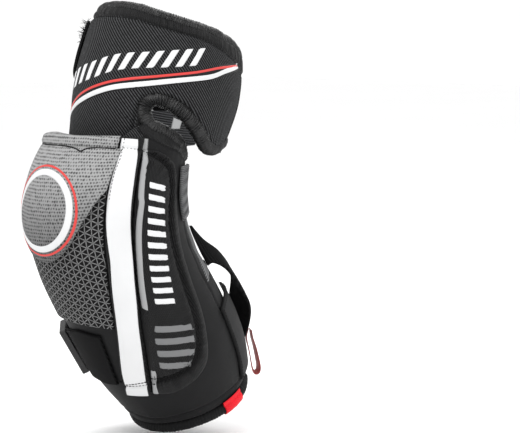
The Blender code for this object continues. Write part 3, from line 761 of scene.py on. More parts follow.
class Skin:
    """Finished pieces that prints and stitches are laid on."""

    DEPTH = 0.016

    def __init__(self, *objs):
        points, faces = [], []
        for obj in objs:
            start = len(points)
            points += [v.co[:] for v in obj.data.vertices]
            faces += [[start + k for k in p.vertices] for p in obj.data.polygons]
        self.tree = BVHTree.FromPolygons(points, faces)

    def touch(self, arm, station, angle, reach=0.022):
        """Points on the pieces below places on an arm, and the outward directions there."""
        outer = arm.at(station, angle, reach).reshape(-1, 3)
        deep = arm.at(station, angle, -self.DEPTH).reshape(-1, 3)
        spots, ups = [], []
        for a, b in zip(outer.tolist(), deep.tolist()):
            a, b = Vector(a), Vector(b)
            hit, normal, _, _ = self.tree.ray_cast(a, (b - a).normalized(), (b - a).length)
            if hit is None:
                hit, normal = a.lerp(b, reach / (reach + self.DEPTH)), (a - b).normalized()
            spots.append(hit[:])
            ups.append((normal if normal.dot(a - b) > 0 else -normal)[:])
        shape = np.shape(station)
        return np.array(spots).reshape(*shape, 3), np.array(ups).reshape(*shape, 3)


def raised(spots, ups, height, share):
    """Upper and lower face of a print, its border sunk in the cloth where share is 0."""
    top = spots + ups * (height * share - SINK * (1 - share))
    return top, spots - ups * (SINK + 2 * SINK * share)


def strip(name, skin, arm, left, right, finish, height, counts=(5, 120)):
    """Thin raised print between two lines of places, following the pieces below."""
    steps = np.linspace(0, 1, PRINT_STEPS)
    left, right = (evenly(along(line, steps), counts[1])[:, None] for line in (left, right))
    u = np.linspace(0, 1, counts[0])[None, :, None]
    places = left * (1 - u) + right * u
    station, angle = places[..., 0] * MM, places[..., 1]
    spots, ups = skin.touch(arm, station, angle)
    top, low = raised(spots, ups, height, inner(station.shape)[..., None])
    return sandwich(name, top, low, arm.spot(station, angle), [finish])


def join(name, parts):
    """One object made of several, with their finishes kept."""
    with bpy.context.temp_override(
        active_object=parts[0], object=parts[0], selected_objects=parts, selected_editable_objects=parts
    ):
        bpy.ops.object.join()
    parts[0].name = name
    parts[0].data.name = name
    return parts[0]


def settle(obj, nodes=()):
    """Hands one finished piece to the frame."""
    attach(obj, BODY)
    if nodes:
        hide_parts(*nodes)
    return obj


# Geometry trees


class Nodes:
    """Short way to fill a node tree."""

    def add(self, kind, inputs=None, **settings):
        """Node with its settings, its inputs linked or set to a value."""
        node = self.tree.nodes.new(kind)
        for key, value in settings.items():
            setattr(node, key, value)
        for key, value in (inputs or {}).items():
            if isinstance(value, bpy.types.NodeSocket):
                self.tree.links.new(value, node.inputs[key])
            else:
                node.inputs[key].default_value = value
        return node

    def calc(self, operation, *values):
        return self.add("ShaderNodeMath", dict(enumerate(values)), operation=operation).outputs[0]

    def plus(self, one, two):
        return self.calc("ADD", one, two)

    def less(self, one, two):
        return self.calc("SUBTRACT", one, two)

    def times(self, one, two):
        return self.calc("MULTIPLY", one, two)

    def over(self, one, two):
        return self.calc("DIVIDE", one, two)


class Tree(Nodes):
    """Geometry tree that takes a source object's geometry."""

    def __init__(self, name):
        self.tree = bpy.data.node_groups.new(name, "GeometryNodeTree")
        for way in ("INPUT", "OUTPUT"):
            self.tree.interface.new_socket("Geometry", in_out=way, socket_type="NodeSocketGeometry")
        self.start = self.tree.nodes.new("NodeGroupInput")
        self.end = self.tree.nodes.new("NodeGroupOutput")
        self.source = self.start.outputs["Geometry"]

    def size(self, name, kind="NodeSocketFloat"):
        """Named input of the tree."""
        self.tree.interface.new_socket(name, in_out="INPUT", socket_type=kind)
        return self.start.outputs[name]

    def every(self, step):
        """The source curve with points at equal steps."""
        inputs = {"Curve": self.source, "Length": step}
        return self.add("GeometryNodeResampleCurve", inputs, mode="LENGTH").outputs[0]

    def mark(self, geometry, name, value, kind="FLOAT", domain="POINT"):
        """Geometry with a value stored in it under a name."""
        inputs = {"Geometry": geometry, "Name": name, "Value": value}
        return self.add("GeometryNodeStoreNamedAttribute", inputs, data_type=kind, domain=domain).outputs[0]

    def marked(self, name):
        return self.add("GeometryNodeInputNamedAttribute", {"Name": name}, data_type="FLOAT").outputs[0]

    def chance(self, low, high, seed):
        inputs = {2: low, 3: high, "Seed": seed}
        return self.add("FunctionNodeRandomValue", inputs, data_type="FLOAT").outputs[1]

    def copies(self, points, shape, rotation, scale):
        inputs = {"Points": points, "Instance": shape, "Rotation": rotation, "Scale": scale}
        return self.add("GeometryNodeInstanceOnPoints", inputs).outputs[0]

    def finish(self, geometry, material):
        real = self.add("GeometryNodeRealizeInstances", {"Geometry": geometry})
        done = self.add("GeometryNodeSetMaterial", {"Geometry": real.outputs[0], "Material": material})
        self.tree.links.new(done.outputs[0], self.end.inputs[0])
        return self.tree


def roll_tree():
    """Round roll along a curve, with gathers across it."""
    tree = Tree("gathered_roll")
    radius, step = tree.size("Radius"), tree.size("Step")
    pitch, depth, seed = tree.size("Gather pitch"), tree.size("Gather depth"), tree.size("Seed")
    material = tree.size("Material", "NodeSocketMaterial")
    line = tree.every(step)
    place = tree.add("GeometryNodeSplineParameter")
    path = tree.mark(line, "run", place.outputs["Length"])
    circle = tree.add("GeometryNodeCurvePrimitiveCircle", {"Resolution": 20, "Radius": radius})
    profile = tree.mark(circle.outputs[0], "turn", place.outputs["Factor"])
    tube = tree.add("GeometryNodeCurveToMesh", {"Curve": path, "Profile Curve": profile, "Fill Caps": True})
    run, turn = tree.marked("run"), tree.marked("turn")
    slant = tree.times(tree.calc("SINE", tree.plus(tree.times(turn, 2 * math.pi), seed)), 1.3)
    here = tree.add("GeometryNodeInputPosition").outputs[0]

    def lumps(scale, detail):
        inputs = {"Vector": here, "Scale": scale, "Detail": detail, "W": seed}
        return tree.add("ShaderNodeTexNoise", inputs, noise_dimensions="4D").outputs[0]

    rough, fine = lumps(130.0, 2.0), lumps(420.0, 1.0)
    phase = tree.times(tree.over(run, pitch), 2 * math.pi)
    phase = tree.plus(tree.plus(phase, slant), tree.times(rough, 16.0))
    wave = tree.times(tree.calc("SINE", phase), tree.times(rough, 1.4))
    wave = tree.plus(wave, tree.times(tree.less(fine, 0.5), 1.2))
    wave = tree.plus(wave, tree.times(tree.less(rough, 0.6), 2.4))
    normal = tree.add("GeometryNodeInputNormal").outputs[0]
    push = {0: normal, "Scale": tree.times(wave, depth)}
    offset = tree.add("ShaderNodeVectorMath", push, operation="SCALE").outputs[0]
    moved = tree.add("GeometryNodeSetPosition", {"Geometry": tube.outputs[0], "Offset": offset})
    spot = tree.add("ShaderNodeCombineXYZ", {"X": tree.times(run, 10.0), "Y": tree.times(turn, 0.3)})
    mapped = tree.mark(moved.outputs[0], "UVMap", spot.outputs[0], "FLOAT2", "CORNER")
    smooth = tree.add("GeometryNodeSetShadeSmooth", {"Geometry": mapped})
    return tree.finish(smooth.outputs[0], material)


def stitch_tree():
    """Row of thread stitches along a curve."""
    tree = Tree("stitches")
    pitch, size, thread = tree.size("Pitch"), tree.size("Stitch length"), tree.size("Thread")
    material = tree.size("Material", "NodeSocketMaterial")
    line = tree.every(pitch)
    bead = tree.add("GeometryNodeMeshUVSphere", {"Segments": 7, "Rings": 6, "Radius": 0.5})
    scale = tree.add("ShaderNodeCombineXYZ", {"X": thread, "Y": thread, "Z": size}).outputs[0]
    shape = tree.add("GeometryNodeTransform", {"Geometry": bead.outputs[0], "Scale": scale})
    tangent = tree.add("GeometryNodeInputTangent").outputs[0]
    facing = tree.add("FunctionNodeAlignRotationToVector", {"Vector": tangent}, axis="Z").outputs[0]
    copies = tree.copies(line, shape.outputs[0], facing, tree.chance(0.85, 1.1, 4))
    smooth = tree.add("GeometryNodeSetShadeSmooth", {"Geometry": copies})
    return tree.finish(smooth.outputs[0], material)


def fuzz_tree():
    """Short loose fibres standing on a surface."""
    tree = Tree("fuzz")
    density, size, thread = tree.size("Density"), tree.size("Fibre length"), tree.size("Thread")
    material = tree.size("Material", "NodeSocketMaterial")
    spread = {"Mesh": tree.source, "Density": density, "Seed": 7}
    spots = tree.add("GeometryNodeDistributePointsOnFaces", spread)
    cone = {"Vertices": 4, "Side Segments": 1, "Radius Top": 0.0, "Radius Bottom": thread, "Depth": size}
    fibre = tree.add("GeometryNodeMeshCone", cone)
    spin = {"Min": (-0.9, -0.9, 0.0), "Max": (0.9, 0.9, 6.28), "Seed": 3}
    lean = tree.add("FunctionNodeRandomValue", spin, data_type="FLOAT_VECTOR").outputs[0]
    both = {0: spots.outputs["Rotation"], 1: lean}
    turned = tree.add("FunctionNodeRotateRotation", both, rotation_space="LOCAL").outputs[0]
    copies = tree.copies(spots.outputs[0], fibre.outputs[0], turned, tree.chance(0.5, 1.2, 5))
    return tree.finish(copies, material)


TREES = {}
MAKERS = {"roll": roll_tree, "stitches": stitch_tree, "fuzz": fuzz_tree}


def grown(name, source, kind, values):
    """The plain mesh that a geometry tree makes from a source object, which is then removed."""
    if kind not in TREES:
        TREES[kind] = MAKERS[kind]()
    modifier = source.modifiers.new(kind, "NODES")
    modifier.node_group = TREES[kind]
    for item in TREES[kind].interface.items_tree:
        if item.in_out == "INPUT" and item.name in values:
            modifier[item.identifier] = values[item.name]
    graph = bpy.context.evaluated_depsgraph_get()
    graph.update()
    mesh = bpy.data.meshes.new_from_object(source.evaluated_get(graph))
    source.modifiers.remove(modifier)
    bpy.data.objects.remove(source, do_unlink=True)
    if len(mesh.polygons) == 0:
        raise RuntimeError(name + " came out empty")
    mesh.name = name
    obj = bpy.data.objects.new(name, mesh)
    bpy.context.scene.collection.objects.link(obj)
    return obj


def curve_of(name, lines, radii=None):
    """Curve object with a straight-sided spline along each line of points."""
    data = bpy.data.curves.new(name, "CURVE")
    data.dimensions = "3D"
    for n, line in enumerate(lines):
        spline = data.splines.new("POLY")
        spline.points.add(len(line) - 1)
        spline.points.foreach_set("co", np.c_[line, np.ones(len(line))].astype(np.float32).ravel())
        if radii is not None:
            spline.points.foreach_set("radius", np.asarray(radii[n], np.float32))
    obj = bpy.data.objects.new(name, data)
    bpy.context.scene.collection.objects.link(obj)
    return obj


def roll(name, points, radius, finish, seed, depth=1.0, pitch=1.0):
    """Gathered roll along a line of points, its ends drawn in."""
    sizes = bpy.context.scene.elbow_pad_sizes
    line = evenly(points, 400)
    steps = run_along(line)
    ends = np.maximum(lip(np.minimum(steps, steps[-1] - steps), radius), 0.12)
    source = curve_of(name, [line], [ends])
    values = {"Radius": radius, "Step": 0.00042, "Gather pitch": sizes.gather_pitch * pitch,
              "Gather depth": sizes.gather_depth * depth, "Seed": seed, "Material": finish}
    return grown(name, source, "roll", values)


def stitches(name, lines, pitch=1.0, thread=1.0, overlap=1.0):
    """Black stitches along lines of points, larger or smaller than the usual ones by the given shares."""
    sizes = bpy.context.scene.elbow_pad_sizes
    values = {"Pitch": sizes.stitch_pitch * pitch, "Stitch length": sizes.stitch_length * pitch * overlap,
              "Thread": sizes.thread * thread, "Material": CLOTHS["black_thread"]}
    return grown(name, curve_of(name, lines), "stitches", values)


def seam_line(skin, arm, path):
    """Points of a seam on the pieces below it."""
    fine = evenly(along(path, np.linspace(0, 1, 240)), 240)
    spots, ups = skin.touch(arm, fine[:, 0] * MM, fine[:, 1])
    return spots + ups * SEAM_LIFT


# Finishes


class Finish(Nodes):
    """One material and the nodes that it is made of."""

    def __init__(self, name, roughness, specular=0.16, **sockets):
        self.material = bpy.data.materials.new(name)
        self.material.use_nodes = True
        self.tree = self.material.node_tree
        self.shader = self.tree.nodes["Principled BSDF"]
        self.shader.inputs["Roughness"].default_value = roughness
        self.shader.inputs["Specular IOR Level"].default_value = specular
        for key, value in sockets.items():
            self.shader.inputs[key.replace("_", " ").title()].default_value = value
        map_node = self.add("ShaderNodeUVMap", uv_map="UVMap")
        self.place = self.add("ShaderNodeTexCoord").outputs["Object"]
        split = self.add("ShaderNodeSeparateXYZ", {0: map_node.outputs[0]})
        self.x, self.y = (self.times(split.outputs[k], 100.0) for k in (0, 1))  # millimetres on the cloth

    def clamp(self, value, low, high, to_low=0.0, to_high=1.0):
        inputs = {"Value": value, "From Min": low, "From Max": high, "To Min": to_low, "To Max": to_high}
        return self.add("ShaderNodeMapRange", inputs, clamp=True).outputs[0]

    def noise(self, scale, detail=2.0):
        inputs = {"Vector": self.place, "Scale": scale, "Detail": detail}
        return self.add("ShaderNodeTexNoise", inputs).outputs[0]

    def mix(self, share, one, two):
        one, two = (c if isinstance(c, bpy.types.NodeSocket) else (*c, 1.0) for c in (one, two))
        return self.add("ShaderNodeMix", {0: share, 6: one, 7: two}, data_type="RGBA").outputs[2]

    def wave(self, value):
        return self.calc("SINE", self.times(value, 2 * math.pi))

    def ribs(self, value, pitch):
        """Rounded ribs from 0 to 1 across a value."""
        return self.calc("MULTIPLY_ADD", self.wave(self.over(value, pitch)), 0.5, 0.5)

    def paint(self, colour):
        self.tree.links.new(colour, self.shader.inputs["Base Color"])

    def bump(self, height, distance, strength=1.0):
        node = self.add("ShaderNodeBump", {"Height": height, "Distance": distance, "Strength": strength})
        self.tree.links.new(node.outputs[0], self.shader.inputs["Normal"])

    def gloss(self, value):
        self.tree.links.new(value, self.shader.inputs["Roughness"])


def shade(colour, factor):
    """The same colour, darker or lighter."""
    return tuple(min(max(c * factor, 0.0), 1.0) for c in colour)


def twill_cloth(tint):
    """Steep diagonal twill with yarn breaks and a little fading, its ribs painted light on top as highlight
    and dark between as shade.
    """
    f = Finish("charcoal_twill", 0.8, 0.08, sheen_weight=0.01, sheen_roughness=0.5)
    slant = f.plus(f.times(f.x, 0.7), f.times(f.y, 0.714))
    rib = f.ribs(slant, 1.85)
    back = f.less(f.times(f.y, 0.7), f.times(f.x, 0.714))
    yarn = f.ribs(back, 0.9)
    fleck = f.noise(900.0, 2.0)
    height = f.plus(f.times(rib, 0.8), f.times(yarn, 0.2))
    # The ribs' colour is partly the weave's own lines and partly painted highlight on their tops, with
    # painted shade in the grooves between.
    lit = f.times(f.calc("POWER", rib, 1.5), f.clamp(fleck, 0.3, 0.7, 0.5, 1.0))
    worn = f.clamp(f.noise(16.0, 4.0), 0.35, 0.7)
    base = f.mix(lit, shade(tint, 0.02), shade(tint, 5.4))
    f.paint(f.mix(f.times(worn, 0.12), base, shade(tint, 2.0)))
    f.bump(height, 0.0005, 1.0)
    return f.material


def soft_cloth(name, tint, ribs=None, roughness=0.82, sheen=0.03, pitch=0.9, specular=0.16):
    """Plain fine cloth, with small ribs along one way where asked, their tops painted light as highlight and
    the hollows between painted dark as shade.
    """
    f = Finish(name, roughness, specular, sheen_weight=sheen, sheen_roughness=0.45)
    fleck = f.noise(1100.0, 2.0)
    cloud = f.noise(22.0, 3.0)
    weave = f.times(f.wave(f.over(f.x, pitch)), f.wave(f.over(f.y, pitch)))
    height = f.calc("MULTIPLY_ADD", weave, 0.25, fleck)
    if ribs:
        value = f.x if ribs[0] == "x" else f.y
        rib = f.ribs(value, ribs[1])
        height = f.plus(height, f.times(rib, 1.6))
        # Painted highlight on the rib tops and painted shade between them.
        base = f.mix(rib, shade(tint, 0.25), shade(tint, 2.2))
    else:
        base = f.mix(f.clamp(fleck, 0.35, 0.65), shade(tint, 0.78), shade(tint, 1.22))
    f.paint(f.mix(f.times(f.clamp(cloud, 0.35, 0.7), 0.3), base, shade(tint, 1.6)))
    f.bump(height, 0.0004 if ribs else 0.00022, 0.9 if ribs else 0.55)
    return f.material


def knit_cloth(tint):
    """Spacer knit with staggered rows of small pits, painted lighter at the top and darker towards the hand
    as light falling from above, the pits painted dark as shade.
    """
    f = Finish("grey_knit", 0.88, sheen_weight=0.02, sheen_roughness=0.5)
    ripple = f.times(f.noise(60.0, 1.0), 1.2)
    level = f.over(f.plus(f.y, ripple), 2.6)
    row = f.calc("FLOOR", level)
    stagger = f.times(f.calc("MODULO", row, 2.0), 0.5)
    column = f.calc("FRACT", f.plus(f.over(f.x, 2.1), stagger))
    across = f.times(f.less(column, 0.5), 2.1)
    up = f.times(f.less(f.calc("FRACT", level), 0.5), 2.6)
    wide, tall = f.calc("POWER", f.over(across, 0.72), 2.0), f.calc("POWER", f.over(up, 0.78), 2.0)
    gap = f.calc("SQRT", f.plus(wide, tall))
    uneven = f.clamp(f.noise(420.0, 1.0), 0.3, 0.7, 0.0, 0.9)
    pit = f.clamp(f.plus(gap, uneven), 0.65, 1.75)
    fleck = f.noise(1300.0, 2.0)
    loops = f.ribs(f.x, 0.7)
    # Painted light and shade: the knit lighter at the top of the cap and darker towards the hand, as the
    # light falls from above.
    low = f.clamp(f.y, -22.0, 34.0)
    base = f.mix(low, shade(tint, 0.33), shade(tint, 1.4))
    base = f.mix(f.clamp(fleck, 0.3, 0.7, 0.0, 0.35), base, shade(tint, 1.5))
    # The pits are painted dark as shade in the hollows, darker still towards the hand.
    f.paint(f.mix(pit, f.mix(low, shade(tint, 0.07), shade(tint, 0.22)), base))
    f.bump(f.plus(pit, f.times(f.plus(loops, fleck), 0.12)), 0.0006, 0.9)
    return f.material


def lattice_cloth(tint):
    """Mesh of light threads in triangles over black cloth, one family of threads running along the arm."""
    f = Finish("grey_black_mesh", 0.8, sheen_weight=0.02, sheen_roughness=0.5)
    thread = hub = None
    for angle in MESH_TURNS:
        c, s = math.cos(math.radians(angle)), math.sin(math.radians(angle))
        run = f.over(f.plus(f.times(f.x, c), f.times(f.y, s)), MESH_PITCH)
        gap = f.times(f.calc("ABSOLUTE", f.less(f.calc("FRACT", run), 0.5)), MESH_PITCH)
        away = f.less(MESH_PITCH / 2, gap)
        hub = away if hub is None else f.calc("MAXIMUM", hub, away)
        thread = away if thread is None else f.calc("MINIMUM", thread, away)
    mask = f.clamp(thread, 0.5, 0.24)
    knot = f.clamp(hub, 0.25, 1.0, 0.42, 1.0)
    fleck = f.noise(1200.0, 2.0)
    light = f.mix(f.clamp(fleck, 0.3, 0.7), shade(tint, 0.5), shade(tint, 1.15))
    f.paint(f.mix(f.times(mask, knot), (0.0022, 0.0022, 0.0025), light))
    f.bump(f.plus(mask, f.times(fleck, 0.15)), 0.0007, 1.0)
    return f.material


def smooth_skin(name, tint, roughness=0.45, specular=0.35):
    """Coated synthetic with a fine grain and faint handling marks."""
    f = Finish(name, roughness, specular)
    fine = f.noise(1500.0, 3.0)
    cloud = f.noise(14.0, 4.0)
    f.paint(f.mix(f.clamp(cloud, 0.4, 0.75, 0.0, 1.0), tint, shade(tint, 0.9)))
    f.gloss(f.clamp(cloud, 0.3, 0.7, roughness - 0.06, roughness + 0.1))
    f.bump(f.plus(fine, f.times(f.noise(240.0, 2.0), 0.5)), 0.00006, 0.6)
    return f.material


def thread_yarn(name, tint):
    """Uneven sewing thread."""
    f = Finish(name, 0.6, sheen_weight=0.03)
    f.paint(f.mix(f.noise(700.0, 2.0), shade(tint, 0.6), shade(tint, 1.4)))
    f.bump(f.noise(2500.0, 2.0), 0.0001, 0.6)
    return f.material


def hard_plastic(tint):
    """Moulded plastic with a fine spark-eroded face and lighter rubbed patches."""
    f = Finish("black_plastic", 0.24, 0.5)
    rub = f.clamp(f.noise(120.0, 3.0), 0.45, 0.7)
    f.paint(f.mix(rub, tint, shade(tint, 1.9)))
    f.gloss(f.clamp(f.noise(300.0, 2.0), 0.3, 0.7, 0.2, 0.32))
    f.bump(f.noise(1600.0, 2.0), 0.00005, 0.7)
    return f.material


CLOTHS = {}


def make_cloths():
    """Fills the table of finishes."""
    tints = bpy.context.scene.elbow_pad_colours
    CLOTHS.update(
        twill=twill_cloth(tints.twill),
        satin=soft_cloth("black_satin", tints.satin, ("x", 1.9), 0.36, sheen=0.0, specular=0.5),
        band=soft_cloth("black_band", tints.satin, ("x", 1.5), 0.5, sheen=0.0, specular=0.26),
        slash=soft_cloth("slash_cloth", shade(tints.satin, 1.2), ("x", 1.15), 0.6, specular=0.2),
        cuff=soft_cloth("black_knit", tints.cuff, None, 0.7),
        knit=knit_cloth(tints.knit),
        lattice=lattice_cloth(tints.lattice),
        white=smooth_skin("white_synthetic", tints.white),
        grey=smooth_skin("grey_print", tints.grey, 0.5),
        pale=smooth_skin("pale_print", tints.pale, 0.45),
        ink=smooth_skin("black_print", (0.004, 0.004, 0.0044), 0.5, 0.2),
        coral=smooth_skin("red_print", tints.coral, 0.45),
        ribbed=soft_cloth("dark_grey_rib", (0.105, 0.106, 0.108), ("y", 2.1), 0.85),
        lining=soft_cloth("grey_lining", tints.lining, ("y", 2.2), 0.9),
        elastic=soft_cloth("black_elastic", tints.strap, ("x", 1.0), 0.85, sheen=0.0, specular=0.09),
        label=soft_cloth("red_label", tints.red, None, 0.6, pitch=0.6),
        ribbon=soft_cloth("dark_red_ribbon", tints.ribbon, ("x", 0.7), 0.4, specular=0.6),
        plastic=hard_plastic(tints.plastic),
        black_thread=thread_yarn("black_thread", (0.0035, 0.0035, 0.004)),
        fibre=thread_yarn("hook_fibre", (0.030, 0.030, 0.032)),
    )


DONE = {}


# Pieces


class PAD_OT_cloths(bpy.types.Operator):
    """Make the finishes of the elbow pad"""

    bl_idname = "elbow_pad.cloths"
    bl_label = "Finishes"

    def execute(self, context):
        make_cloths()
        return {"FINISHED"}


def side_of(path, station, angle):
    """How far a place lies above a line of places along the arm, in metres."""
    fine = along(path, np.linspace(0, 1, 200))
    order = np.argsort(fine[:, 1])
    return station - np.interp(angle, fine[order, 1], fine[order, 0]) * MM


def guard_bands(station, angle):
    """Black cloth above the top stitches and inside the notch stitches, charcoal twill elsewhere."""
    above = side_of(TOP_STITCH, station, angle) > 0
    inside = (side_of(NOTCH_STITCH[:-2], station, angle) < 0) & (angle > 39)
    return np.where(above | inside, 1, 0)


def guard_relief(station, angle, face):
    """Seams, small ripples above the top seam, and soft unevenness of the upper arm guard."""
    above = side_of(TOP_STITCH, station, angle)
    rise = seam_relief(TOP_STITCH, station, angle, 0.0013, 0.0013, 0.0042, 0.00022, 0.006)
    rise = rise + seam_relief(NOTCH_STITCH, station, angle, 0.0014, 0.0014, 0.0046, 0.0004, 0.006)
    ripples = 0.0002 * np.sin(2 * math.pi * angle / 1.9 + 3 * grain(face, 0.01, 1.0))
    rise = rise + np.clip(above / 0.002, 0, 1) * ripples + 0.0005 * np.clip(above / 0.0035, 0, 1)
    return rise + 0.00055 * grain(face, 0.034, 3.0) + 0.00022 * grain(face, 0.012, 9.0)


def cuff_relief(station, angle, face):
    """Seams, soft folds across the side, and soft unevenness of the cuff."""
    rise = seam_relief(CUFF_SEAM, station, angle, 0.0011, 0.0009, 0.006, 0.0003, 0.007)
    rise = rise + seam_relief(HEM_STITCH, station, angle, 0.0012, 0.0008, 0.0045, 0.00025, 0.005)
    rise = rise + seam_relief(LOWER_STITCH, station, angle, 0.0012, 0.001, 0.0046, 0.0003, 0.005)
    folds = np.clip(np.sin(station / 0.0105 + 2.5 * grain(face, 0.04, 2.0)), 0, 1) ** 3
    side = np.clip((angle - 92) / 20, 0, 1) * np.clip((station + 0.10) / 0.03, 0, 1)
    rise = rise - 0.0007 * folds * side * np.clip((0.02 - station) / 0.02, 0, 1)
    return rise - 0.0002 + 0.0005 * grain(face, 0.03, 5.0) + 0.0002 * grain(face, 0.011, 1.0)


def cuff_bands(station, angle):
    """Black band above the seam below the notch, a corner of charcoal twill, and black knit elsewhere."""
    above = side_of(LOWER_STITCH, station, angle)
    band = (above > 0) & (angle > 50)
    twill = (above <= 0) & (angle > 40) & (angle < 67) & (station > 0.041)
    return np.where(band, 2, np.where(twill, 1, 0))


class PAD_OT_guard(bpy.types.Operator):
    """Make the padded upper arm guard"""

    bl_idname = "elbow_pad.guard"
    bl_label = "Upper arm guard"

    def execute(self, context):
        sizes = context.scene.elbow_pad_sizes
        drop = (sizes.edge_roll + sizes.gap) / MM
        rows = [(a, low, high - drop * 0.04) for a, low, high in GUARD_EDGES]
        patch = Patch(UPPER, by_angle(rows))
        finishes = [CLOTHS["twill"], CLOTHS["band"], CLOTHS["lining"]]
        guard = shell(
            "bicep_guard_cloth", patch, sizes.guard_wall, finishes, (96, 430), outward=False, soft=0.0026,
            relief=guard_relief, choose=guard_bands,
        )
        DONE["guard"] = settle(guard, ["bicep_guard"])
        return {"FINISHED"}


class PAD_OT_cuff(bpy.types.Operator):
    """Make the soft cuff round the forearm and elbow"""

    bl_idname = "elbow_pad.cuff"
    bl_label = "Cuff"

    def execute(self, context):
        sizes = context.scene.elbow_pad_sizes
        finishes = [CLOTHS["cuff"], CLOTHS["twill"], CLOTHS["band"], CLOTHS["lining"]]
        cuff = shell(
            "forearm_cuff_cloth", Patch(FORE, by_angle(CUFF_EDGES)), sizes.cuff_wall, finishes, (150, 270),
            outward=False, soft=0.0026, relief=cuff_relief, choose=cuff_bands,
        )
        DONE["cuff"] = settle(cuff, ["forearm_cuff"])
        liner = shell(
            "elbow_liner_cloth", Patch(FORE, by_angle(LINER_EDGES)), sizes.liner_wall, [CLOTHS["lining"]],
            (60, 50), base=-sizes.cuff_wall * 2 - sizes.liner_wall, soft=0.0008,
        )
        settle(liner, ["elbow_liner"])
        under = -sizes.guard_wall - sizes.gap * 3 - sizes.liner_wall
        lining = shell(
            "crease_lining_cloth", Patch(UPPER, by_angle(CREASE_LINING_EDGES)), sizes.liner_wall,
            [CLOTHS["lining"]], (40, 90), base=under, soft=0.0008,
        )
        DONE["lining"] = settle(lining, ["crease_lining"])

        def ribs(station, angle, face):
            return 0.0003 * np.sin(2 * math.pi * station / 0.0019) + 0.0002 * grain(face, 0.008, 2.0)

        band = shell(
            "crease_edge_band_cloth", Patch(FORE, EDGE_BAND), sizes.band_wall, [CLOTHS["ribbed"]], (24, 150),
            base=sizes.gap * 1.6, soft=0.0012, relief=ribs,
        )
        settle(band, ["crease_edge_band"])
        rows = np.array(LOWER_BAND, float)
        left, right = rows[:, :2], rows[:, 2:]
        lower = strip("crease_lower_band", Skin(cuff), FORE, left, right, CLOTHS["ribbed"], 0.0007, (10, 90))
        settle(lower)
        return {"FINISHED"}


class PAD_OT_rolls(bpy.types.Operator):
    """Make the gathered rolls round the edges"""

    bl_idname = "elbow_pad.rolls"
    bl_label = "Rolls"

    def execute(self, context):
        sizes = context.scene.elbow_pad_sizes

        def line_on(arm, rows, lift):
            rows = along(rows, np.linspace(0, 1, len(rows) * 8))
            return arm.at(rows[:, 1] * MM, rows[:, 0], lift)

        above = line_on(UPPER, NOTCH_ROLL_ABOVE, -sizes.guard_wall / 2)
        below = line_on(FORE, NOTCH_ROLL_BELOW, -sizes.cuff_wall * 0.7)
        notch = soften(evenly(np.concatenate([above, below]), 44), 3)
        notch = soften(evenly(notch, 160), 12)
        made = roll("notch_roll", notch, sizes.roll * 1.12, CLOTHS["satin"], 2.0, depth=1.7, pitch=1.15)
        settle(made, ["notch_binding"])
        top = line_on(UPPER, [(a, s) for a, _, s in GUARD_EDGES], -sizes.guard_wall / 2)
        made = roll("top_roll", top, sizes.edge_roll, CLOTHS["satin"], 5.0, depth=0.9)
        settle(made, ["bicep_top_binding"])
        hem = line_on(FORE, HEM_ROLL, -sizes.cuff_wall / 2)
        made = roll("hem_roll", hem, sizes.edge_roll, CLOTHS["cuff"], 8.0, depth=0.7, pitch=1.3)
        settle(made, ["hem_binding"])
        crease = soften(evenly(line_on(FORE, CREASE_ROLL, -sizes.cuff_wall / 2), 60), 4)
        made = roll("crease_roll", crease, sizes.crease_roll, CLOTHS["ribbed"], 11.0, depth=0.9)
        settle(made, ["crease_binding"])
        return {"FINISHED"}


def mesh_relief(station, angle, face):
    """Raised threads of the side mesh."""
    x, y = np.moveaxis(FORE.spot(station, angle), -1, 0) / MM
    gap = np.full(x.shape, 9.0)
    for turn in np.radians(MESH_TURNS):
        run = (x * math.cos(turn) + y * math.sin(turn)) / MESH_PITCH
        gap = np.minimum(gap, MESH_PITCH * (0.5 - np.abs(run - np.floor(run) - 0.5)))
    return 0.0003 * np.clip((0.9 - gap) / 0.5, 0, 1) - 0.0003


def cap_relief(station, angle, face):
    """Soft unevenness of the elbow cap."""
    return 0.0004 * grain(face, 0.03, 2.0) + 0.00012 * grain(face, 0.006, 6.0)


def collar_relief(station, angle, face):
    """The collar's rolled and gathered upper edge, and the flat part below it."""
    rolled = np.clip((station / MM - 40.2) / 3.4, 0, 1) ** 0.6
    gathers = 0.00028 * np.sin(np.radians(angle) * 60 / 2.1 * 2 * math.pi + 3 * grain(face, 0.01, 5.0))
    return -0.0024 * (1 - rolled) + rolled * (0.0014 + gathers) + 0.0004 * grain(face, 0.008, 4.0)


def slash_relief(station, angle, face):
    """Deep gathered seam and soft unevenness of the slash guard."""
    rise = seam_relief(SLASH_STITCH, station, angle, 0.0021, 0.0036, 0.0031, 0.0008, 0.005)
    return rise + 0.0005 * grain(face, 0.03, 8.0) + 0.00015 * grain(face, 0.006, 3.0)


def stripe_relief(station, angle, face):
    """Seams near both ends of the stripe."""
    rise = seam_relief(STRIPE_END_STITCH, station, angle, 0.0015, 0.0022)
    rise = rise + seam_relief(STRIPE_TOP_STITCH, station, angle, 0.0015, 0.0016)
    return rise + 0.0003 * grain(face, 0.03, 7.0)


